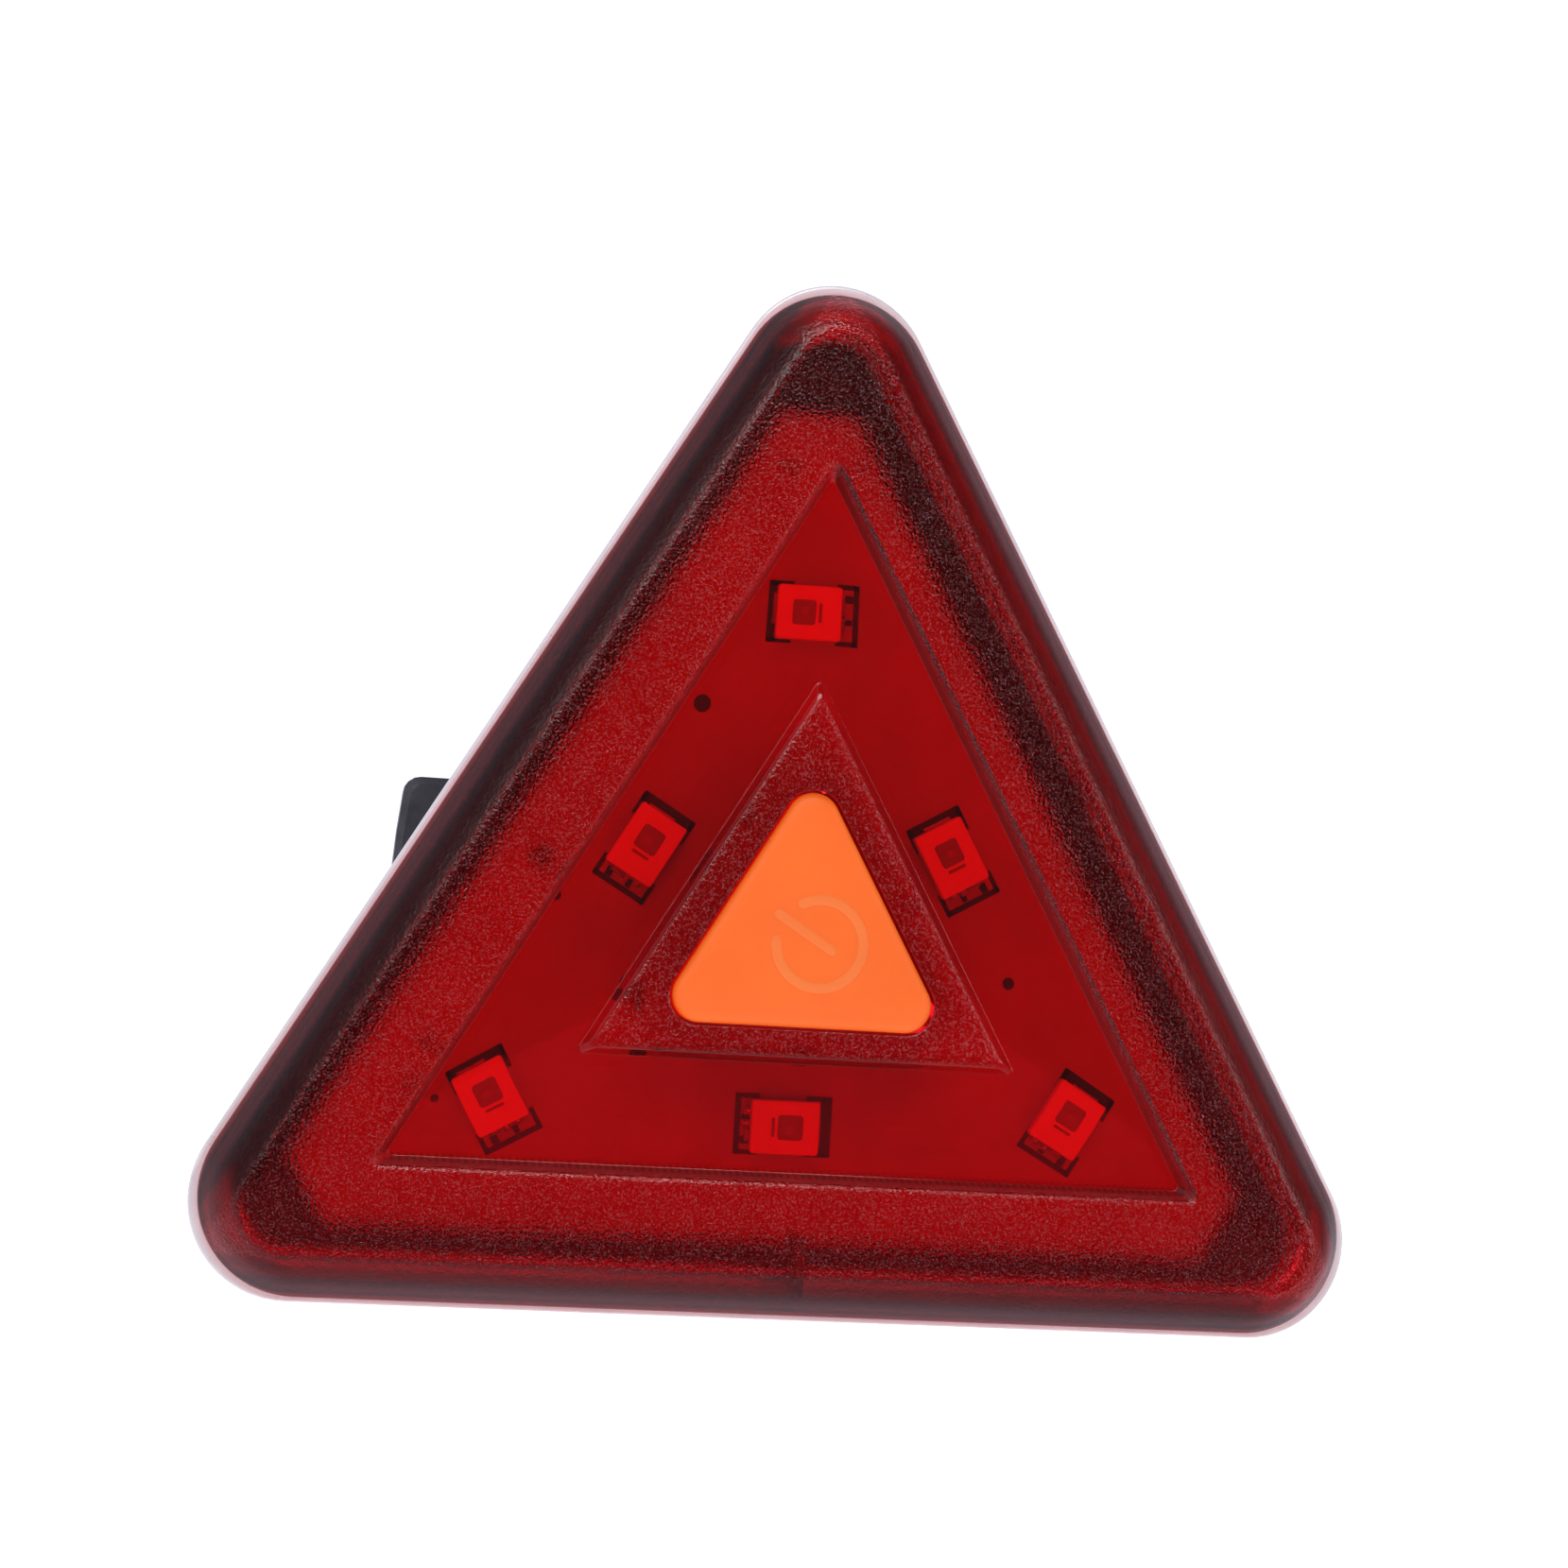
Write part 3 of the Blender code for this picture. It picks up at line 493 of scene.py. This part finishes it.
MATERIALS = {
    "shell": shell_material(),
    "black": moulded(
        "black_plastic", (0.018, 0.018, 0.021), (0.03, 0.03, 0.035), 0.46, 4200, 0.00005, (0.09, 0.09, 0.1)
    ),
    "clip": moulded(
        "clip_plastic", (0.022, 0.022, 0.028), (0.036, 0.036, 0.046), 0.42, 4200, 0.00004, (0.1, 0.1, 0.12)
    ),
    "frame": moulded("frame_plastic", (0.012, 0.012, 0.013), (0.02, 0.02, 0.022), 0.55, 5000, 0.00004),
    "carrier": moulded("carrier_plastic", (0.24, 0.235, 0.23), (0.32, 0.31, 0.3), 0.5, 5000, 0.00004),
    "rubber": moulded("seal_rubber", (0.012, 0.012, 0.012), (0.022, 0.021, 0.02), 0.75, 3500, 0.00005),
    "led": moulded("led_package", (0.82, 0.8, 0.76), (0.9, 0.89, 0.86), 0.38, 6000, 0.00002),
    "die": moulded("led_die", (0.24, 0.23, 0.22), (0.34, 0.33, 0.31), 0.4, 8000, 0.00001),
    "silicone": moulded("seal_silicone", (0.62, 0.61, 0.58), (0.72, 0.71, 0.69), 0.5, 4000, 0.00003),
    "ink": moulded("board_ink", (0.012, 0.012, 0.012), (0.03, 0.03, 0.03), 0.6, 6000, 0.00002),
    "grey": moulded("plunger_plastic", (0.3, 0.29, 0.27), (0.4, 0.39, 0.36), 0.5, 5000, 0.00003),
    "ceramic": moulded("capacitor_ceramic", (0.32, 0.21, 0.12), (0.42, 0.29, 0.17), 0.4, 6000, 0.00002),
    "steel": metal("plated_steel", (0.5, 0.49, 0.47), (0.68, 0.68, 0.69), 0.28, (1.0, 1.0, 0.08)),
    "wire": metal("spring_wire", (0.42, 0.41, 0.4), (0.6, 0.6, 0.61), 0.3, (0.3, 1.0, 1.0)),
    "cell": metal("nickel_plate", (0.55, 0.54, 0.52), (0.72, 0.72, 0.73), 0.25, (1.0, 1.0, 0.1)),
    "tin": metal("tinned_metal", (0.55, 0.53, 0.5), (0.78, 0.77, 0.75), 0.3, (0.2, 1.0, 1.0)),
    "gold": metal("gold_flash", (0.5, 0.34, 0.13), (0.78, 0.57, 0.25), 0.3, (1.0, 1.0, 0.2)),
    "lens": lens_material(),
    "button": silicone_material("orange_silicone", (0.9, 0.128, 0.003), (0.94, 0.145, 0.004)),
    "symbol": silicone_material("pale_orange_silicone", (0.93, 0.165, 0.022), (0.96, 0.19, 0.03)),
    "board": board_material(),
}


def dress(item, look, body=None, stands_for=()):
    """Give a piece its material, its body and the CAD nodes it stands for."""
    item.data.materials.clear()
    item.data.materials.append(MATERIALS[look])
    if body:
        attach(item, body)
    if stands_for:
        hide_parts(*stands_for)
    return item


# ---------------------------------------------------------------- lens, shell and button


def make_lens():
    """Lens with its island, window, sloped border and tongue, and the rib inside its lower edge."""
    rows = [
        (HOLE_R, HOLE_CORNER, 0.45, 0.0, 0.1),
        (5.98, 0.25, 0.45, 0.25, 0.28),
        (6.4, 0.25, WINDOW_D, 0.25, 0.06),
        (WINDOW_FOOT_R, 0.25, WINDOW_D, 0.0, 0.06),
        (WINDOW_EDGE_R, 0.3, 0.0, 0.0, 0.3),
        (FACE_EDGE_R, 2.3, 0.0, 0.0, 0.18),
        (17.64, 3.73, 0.67, 0.0, 0.6),
        (18.66, 4.9, 1.85, 0.0, 0.15),
        (18.66, 4.9, 2.1, 0.0, 0.04),
        (TONGUE_R, TONGUE_CORNER, 2.1, 0.0, 0.05),
        (TONGUE_R, TONGUE_CORNER, TONGUE_END_D, 0.0, 0.1),
        (TONGUE_INNER_R, TONGUE_INNER_CORNER, TONGUE_END_D, 0.0, 0.1),
        (TONGUE_INNER_R, TONGUE_INNER_CORNER, 3.0, 0.0, 0.3),
        (INNER_FACE_R, 2.1, INNER_FACE_D, 0.0, 0.4),
        (HOLE_R, HOLE_CORNER, INNER_FACE_D, 0.0, 0.1),
    ]
    lens = triangle_sweep("lens", rows, ring=True, steps=24, rounding=5)
    dress(lens, "lens", "housing", ["lens_cover"])
    rib_low = (0.45 * MM, -17.35 * MM, 2.06 * MM)
    rib_high = (1.05 * MM, -14.6 * MM, 4.7 * MM)
    rib = rounded_box("lens_rib", rib_low, rib_high, 0.06 * MM)
    dress(rib, "lens", "housing")


def make_shell():
    """Shell with its ledge, cavity and rear opening, and the three screw bosses."""
    rows = [
        (18.25, 4.25, 2.2, 0.0, 0.05),
        (18.95, 4.95, 2.2, 0.0, 0.18),
        (18.95, 4.95, 3.0, 0.0, 0.3),
        (18.68, 4.8, 9.6, 0.0, 1.2),
        (18.4, 4.65, 11.4, 0.0, 0.8),
        (17.6, 4.1, 12.8, 0.0, 0.6),
        (16.6, 3.4, 13.2, 0.0, 0.2),
        (14.5, 2.5, 13.2, 0.0, 0.12),
        (14.5, 2.5, 11.2, 0.0, 0.05),
        (12.6, 7.0, 11.2, 0.0, 0.1),
        (12.6, 7.0, 9.8, 0.0, 0.1),
        (17.25, 3.4, 9.8, 0.0, 0.3),
        (17.25, 3.4, 5.8, 0.0, 0.1),
        (18.2, 4.2, 5.8, 0.0, 0.1),
        (18.2, 4.2, 2.2, 0.0, 0.03),
    ]
    shell = triangle_sweep("shell", rows, ring=True, steps=24, rounding=4)
    dress(shell, "shell", "housing", ["rear_shell"])
    for number, turn in enumerate(CORNER_TURNS, 1):
        spot = polar(SCREW_DISTANCE, turn)
        profile = [(0.95, 8.6, 0), (2.1, 8.6, 0.1), (2.1, 9.75, 0)]
        boss = turned(f"shell_boss_{number}", profile, spot.x, spot.y)
        dress(boss, "shell", "housing")


def make_button():
    """Domed button with a broken ring and a slanted bar raised on it."""
    rows = [
        (1.2, 0.3, 0.1, 0.0, 0),
        (3.0, 0.6, 0.12, 0.0, 0.3),
        (3.85, 1.0, 0.19, 0.0, 0.3),
        (4.2, 1.3, 0.33, 0.0, 0.15),
        (4.33, 1.35, 0.62, 0.0, 0.15),
        (4.33, 1.35, 2.1, 0.0, 0.1),
        (3.9, 1.2, 2.1, 0.0, 0),
    ]
    button = triangle_sweep("button", rows, steps=28, rounding=4)
    dress(button, "button", "button", ["power_button"])
    ring = []
    for step in range(49):
        spot = polar(SYMBOL_R, 178 + (476 - 178) * step / 48)
        ring.append(Vector((SYMBOL_X + spot.x, SYMBOL_UP + spot.y)))
    along = polar(1.6 * MM, 148.5)
    middle = Vector((-0.15 * MM, 0.4 * MM))
    bar = [middle + along * (1 - 2 * step / 12) for step in range(13)]
    parts = [stroke("symbol_ring", ring, SYMBOL_HALF_WIDTH), stroke("symbol_bar", bar, SYMBOL_HALF_WIDTH)]
    symbol = join("button_symbol", parts)
    dress(symbol, "symbol", "button")


def stroke(name, path, half_width):
    """Low rounded ridge along a line drawn on the button's top."""
    turns = (0.15, 0.5, 0.95)
    profile = ((-1.0, -0.06), (-0.98, 0.018), (-0.8, 0.03), (0.8, 0.03), (0.98, 0.018), (1.0, -0.06))
    loops = []
    sections = []
    count = len(path)
    for index, point in enumerate(path):
        along = (path[min(index + 1, count - 1)] - path[max(index - 1, 0)]).normalized()
        across = Vector((-along.y, along.x))
        reach = along * half_width
        if index == 0:
            sections += [(point - reach * math.cos(a), across, math.sin(a)) for a in turns]
        sections.append((point, across, 1.0))
        if index == count - 1:
            sections += [(point + reach * math.cos(a), across, math.sin(a)) for a in reversed(turns)]
    for point, across, share in sections:
        loop = []
        for side, rise in profile:
            spot = point + across * (side * half_width * share)
            loop.append(place(spot.x, spot.y, BUTTON_FACE_D - rise * MM))
        loops.append(loop)
    return skin(name, loops)


# ---------------------------------------------------------------- board and diodes


def make_led(node, centre, mark_centre, turn, solder_side):
    """Diode with a moulded rim, a die, a bond line and soldered ends. Returns its marks on the board."""
    along = polar(1.0, turn + 90 * solder_side)
    across = polar(1.0, turn)
    top = BOARD_FRONT_D - LED_HEIGHT
    bottom = BOARD_FRONT_D - SOLDER_GAP

    def loop(middle, a, b, length, width, corner, depth):
        made = []
        for p in round_rectangle(length * MM, width * MM, corner * MM):
            spot = middle + along * (a * MM + p.x) + across * (b * MM + p.y)
            made.append(place(spot.x, spot.y, depth))
        return made

    def slab(label, middle, a, b, length, width, low, high, edge):
        corner = min(length, width) * 0.14
        loops = [
            loop(middle, a, b, length, width, corner, low),
            loop(middle, a, b, length, width, corner, high + edge * MM),
            loop(middle, a, b, length - 2 * edge, width - 2 * edge, corner, high),
        ]
        return skin(f"{node}_{label}", loops)

    rows = (
        (3.4, 2.7, 0.12, bottom),
        (3.5, 2.8, 0.15, bottom - 0.2 * MM),
        (3.5, 2.8, 0.15, top + 0.05 * MM),
        (3.42, 2.72, 0.12, top),
        (2.9, 2.2, 0.3, top + 0.004 * MM),
        (2.8, 2.1, 0.3, top + 0.03 * MM),
    )
    body = skin(f"{node}_package", [loop(centre, 0.0, 0.0, *row) for row in rows])
    dress(body, "led", "housing", [node])
    floor = top + 0.03 * MM
    die = [
        slab("die_a", centre, -0.27, 0.0, 1.3, 1.3, floor + 0.02 * MM, floor - 0.03 * MM, 0.03),
        slab("die_b", centre, 0.62, 0.0, 0.16, 1.0, floor + 0.02 * MM, floor - 0.02 * MM, 0.01),
    ]
    dress(join(f"{node}_die", die), "die", "housing")
    chip = slab("chip", centre, -0.2, 0.05, 0.5, 0.6, floor, floor - 0.06 * MM, 0.05)
    dress(chip, "grey", "housing")
    solder = [
        slab("solder_a", centre, 1.86, -0.75, 0.34, 0.42, bottom, bottom - 0.36 * MM, 0.12),
        slab("solder_b", centre, 1.9, -0.1, 0.42, 0.36, bottom, bottom - 0.25 * MM, 0.12),
        slab("solder_c", centre, 1.84, 0.55, 0.3, 0.62, bottom, bottom - 0.4 * MM, 0.12),
        slab("solder_d", centre, -1.82, 0.2, 0.2, 1.6, bottom, bottom - 0.2 * MM, 0.06),
    ]
    dress(join(f"{node}_solder", solder), "tin", "housing")
    high = BOARD_FRONT_D - 0.02 * MM
    low = BOARD_FRONT_D + 0.01 * MM
    marks = (
        ("mark_a", 2.36, 0.0, 0.3, 3.2),
        ("mark_b", 1.88, 1.48, 1.25, 0.26),
        ("mark_c", 1.88, -1.48, 1.25, 0.26),
        ("mark_d", -2.22, 0.0, 0.58, 3.2),
        ("mark_e", -1.8, 1.48, 1.3, 0.26),
        ("mark_f", -1.8, -1.48, 1.3, 0.26),
        ("mark_g", 1.95, 0.85, 0.5, 0.4),
        ("mark_h", 1.95, -0.35, 0.45, 0.3),
    )
    return [slab(mark[0], mark_centre, *mark[1:], low, high, 0.004) for mark in marks]


def dot(name, x, up, radius):
    """Round black disc on the board, from sizes in millimetres: painted shade in a via or test hole."""
    front = BOARD_FRONT_D / MM
    rows = [(radius, front + 0.01, 0), (radius, front - 0.02, 0)]
    return turned(name, rows, x * MM, up * MM, 28)


def make_board():
    """Diodes, the ink round them and, between them, round black discs of painted shade in the via and test
    holes.
    """
    marks = []
    # node, diode's centre, centre of its ink marks, turn, side that is soldered more heavily
    rows = (
        ("led_top", (-0.1, 16.7), (0.25, 16.75), 90, -1),
        ("led_left", (-7.75, 4.35), (-7.8, 4.2), 150, 1),
        ("led_right", (8.2, 4.65), (8.45, 4.5), 30, -1),
        ("led_bottom_left", (-14.8, -8.8), (-14.55, -9.0), 210, 1),
        ("led_bottom", (0.3, -9.7), (0.3, -9.65), 270, -1),
        ("led_bottom_right", (15.1, -8.55), (15.25, -8.75), 330, -1),
    )
    for node, centre, mark_centre, turn, side in rows:
        marks += make_led(node, Vector(centre) * MM, Vector(mark_centre) * MM, turn, side)
    # Via and test holes, drawn as black discs: painted shade in the holes.
    hole_spots = (
        (-5.33, 11.77, 0.46),
        (11.74, -1.64, 0.32),
        (-17.6, -8.96, 0.22),
        (-1.5, 24.14, 0.3),
        (2.34, 24.46, 0.26),
        (-18.11, -6.12, 0.32),
        (-18.9, -8.3, 0.25),
        (-13.0, 3.42, 0.5),
        (-12.2, 1.6, 0.28),
        (-7.3, -3.6, 0.45),
        (-6.3, -4.6, 0.35),
        (-8.1, -2.7, 0.4),
        (1.0, -6.1, 0.4),
        (-2.2, 5.9, 0.3),
        (6.6, 2.2, 0.3),
    )
    for number, (x, up, radius) in enumerate(hole_spots, 1):
        marks.append(dot(f"dot_{number}", x, up, radius))
    # The printed marks and the painted hole shade share the black ink.
    dress(join("board_marks", marks), "ink", "housing")


# ---------------------------------------------------------------- back, clip and hardware


def make_screws():
    """Cross-head screws, with the crosses cut out of their heads."""
    for number, turn in enumerate(CORNER_TURNS, 1):
        spot = polar(SCREW_DISTANCE, turn)
        profile = [
            (0.5, 8.9, 0),
            (0.8, 9.3, 0.1),
            (0.8, 12.55, 0.05),
            (1.8, 12.55, 0.05),
            (1.8, 12.92, 0.12),
            (1.2, 13.12, 0.3),
            (0.3, 13.15, 0),
        ]
        screw = turned(f"screw_{number}", profile, spot.x, spot.y, 48)
        cutters = []
        arms = (("a", CROSS_REACH, CROSS_HALF_WIDTH), ("b", CROSS_HALF_WIDTH, CROSS_REACH))
        for label, wide, tall in arms:
            low = (spot.x - wide, spot.y - tall, 12.75 * MM)
            high = (spot.x + wide, spot.y + tall, 13.6 * MM)
            cutters.append(rounded_box(f"cross_{label}_{number}", low, high, 0.04 * MM))
        for cutter in cutters:
            modifier = screw.modifiers.new("cross", "BOOLEAN")
            modifier.operation = "DIFFERENCE"
            modifier.solver = "EXACT"
            modifier.object = cutter
        apply_modifiers(screw)
        for cutter in cutters:
            bpy.data.objects.remove(cutter, do_unlink=True)
        dress(screw, "steel", "housing", [f"cover_screw_{number}"])


def apply_modifiers(item):
    """Replace an object's mesh by what its modifiers make of it."""
    graph = bpy.context.evaluated_depsgraph_get()
    mesh = bpy.data.meshes.new_from_object(item.evaluated_get(graph))
    item.modifiers.clear()
    item.data = mesh
    mesh.shade_smooth()
    mesh.set_sharp_from_angle(angle=math.radians(35))


def make_spring():
    """Torsion spring: a still leg on the cover, a coil round the pin and a leg that follows the lever."""
    half = SPRING_TURNS * SPRING_PITCH / 2
    leg_steps = 8
    turn_steps = 32
    start = place(SPRING_LEG_END_X, -half, SHELL_BACK_D + 0.45 * MM)
    first = place(PIVOT_X, -half, PIVOT_D - SPRING_R)
    points = [start.lerp(first, step / leg_steps) for step in range(leg_steps)]
    coil_steps = SPRING_TURNS * turn_steps + turn_steps // 2
    for step in range(coil_steps + 1):
        spot = polar(SPRING_R, -90 + 360 * step / turn_steps)
        rise = SPRING_PITCH * step / turn_steps - half
        points.append(place(PIVOT_X + spot.x, rise, PIVOT_D + spot.y))
    last = points[-1]
    tip = place(SPRING_LEG_END_X, last.z - CENTRE_Z, LEVER_FRONT_D - 0.45 * MM)
    points += [last.lerp(tip, step / leg_steps) for step in range(1, leg_steps + 1)]
    spring = tube("spring", points, SPRING_WIRE_R)
    dress(spring, "wire", None, ["torsion_spring"])
    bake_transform(spring)


def make_grip_ribs():
    """Five low ribs under the thumb on the lever's outer face."""
    ribs = []
    for number in range(5):
        x = (-17.6 + 1.5 * number) * MM
        low = (x - 0.3 * MM, -5.4 * MM, LEVER_BACK_D - 0.1 * MM)
        high = (x + 0.3 * MM, 5.4 * MM, LEVER_BACK_D + 0.35 * MM)
        ribs.append(rounded_box(f"rib_{number}", low, high, 0.14 * MM))
    dress(join("clip_grip_ribs", ribs), "clip", "clip")


CAD_LOOKS = {
    "button_carrier": "carrier",
    "rear_cover": "black",
    "clip_lever": "clip",
    "hinge_pin": "steel",
    "inner_frame": "frame",
    "circuit_board": "board",
    "switch_body": "black",
    "switch_plunger": "grey",
    "controller_chip": "black",
    "resistor_1": "ink",
    "resistor_2": "ink",
    "resistor_3": "ink",
    "capacitor": "ceramic",
    "coin_cell": "cell",
    "cell_retainer": "tin",
    "negative_contact": "gold",
    "lens_seal": "silicone",
    "rear_seal": "rubber",
}

for node_name, look in CAD_LOOKS.items():
    dress(nodes[node_name], look)
make_lens()
make_shell()
make_button()
make_board()
make_screws()
make_spring()
make_grip_ribs()


# ---------------------------------------------------------------- studio and camera


def make_studio():
    """Pale floor, and a surround that is brightest behind and below and dim in front."""
    bpy.ops.mesh.primitive_plane_add(size=6.0, location=(0.0, 0.0, -0.00005))
    floor = bpy.context.object
    floor.name = "studio_floor"
    g = Graph("studio_floor")
    colour = g.mix(g.noise(6, 2), (0.86, 0.86, 0.86), (0.9, 0.9, 0.9))
    g.set(Base_Color=colour, Roughness=0.9, Emission_Color=(1.0, 1.0, 1.0), Emission_Strength=0.85)
    floor.data.materials.append(g.material)
    floor.visible_glossy = False
    world = bpy.data.worlds.new("studio")
    bpy.context.scene.world = world
    world.use_nodes = True
    tree = world.node_tree
    shade = tree.nodes["Background"]
    coordinates = tree.nodes.new("ShaderNodeTexCoord")
    bias = tree.nodes.new("ShaderNodeVectorMath")
    bias.operation = "DOT_PRODUCT"
    bias.inputs[1].default_value = (-0.3, 1.0, -0.35)
    tree.links.new(coordinates.outputs["Generated"], bias.inputs[0])
    ramp = tree.nodes.new("ShaderNodeMapRange")
    ramp.interpolation_type = "SMOOTHSTEP"
    for index, value in ((1, -0.85), (2, 0.7), (3, 0.03), (4, 1.0)):
        ramp.inputs[index].default_value = value
    tree.links.new(bias.outputs["Value"], ramp.inputs[0])
    path = tree.nodes.new("ShaderNodeLightPath")
    seen = tree.nodes.new("ShaderNodeMath")
    seen.operation = "MULTIPLY"
    seen.inputs[1].default_value = 1.25
    tree.links.new(path.outputs["Is Camera Ray"], seen.inputs[0])
    strongest = tree.nodes.new("ShaderNodeMath")
    strongest.operation = "MAXIMUM"
    tree.links.new(ramp.outputs[0], strongest.inputs[0])
    tree.links.new(seen.outputs[0], strongest.inputs[1])
    tree.links.new(strongest.outputs[0], shade.inputs["Strength"])
    shade.inputs["Color"].default_value = (0.9, 0.86, 1.0, 1.0)


def softbox(name, location, size, power):
    """Soft rectangular lamp aimed at the lens's middle."""
    target = Vector((0.0, 0.0, 0.019))
    data = bpy.data.lights.new(name, "AREA")
    data.shape = "RECTANGLE"
    data.size = size[0]
    data.size_y = size[1]
    data.energy = power
    item = bpy.data.objects.new(name, data)
    item.location = location
    item.rotation_euler = (target - Vector(location)).to_track_quat("-Z", "Y").to_euler()
    bpy.context.scene.collection.objects.link(item)


def make_camera():
    """Camera a little left of the lens, looking slightly right and tilted a few degrees."""
    data = bpy.data.cameras.new("camera")
    data.lens = 70.0
    data.sensor_width = 36.0
    data.clip_start = 0.005
    data.clip_end = 20.0
    camera = bpy.data.objects.new("camera", data)
    forward = Vector((0.16680867, 0.98518637, 0.03978301))
    up = Vector((-0.06664917, -0.02898957, 0.99735525))
    right = forward.cross(up)
    rotation = Matrix((right, up, -forward)).transposed()
    camera.location = place(-26.739 * MM, 1.645 * MM, -147.876 * MM)
    camera.rotation_euler = rotation.to_euler()
    bpy.context.scene.collection.objects.link(camera)
    bpy.context.scene.camera = camera


make_studio()
softbox("key_top", (-0.06, -0.42, 0.46), (0.4, 0.25), 1.65)
softbox("left", (-0.31, -0.46, 0.28), (0.2, 0.2), 0.25)
softbox("right", (0.46, -0.36, 0.1), (0.25, 0.3), 0.5)
make_camera()
bpy.context.scene.view_settings.view_transform = "Standard"
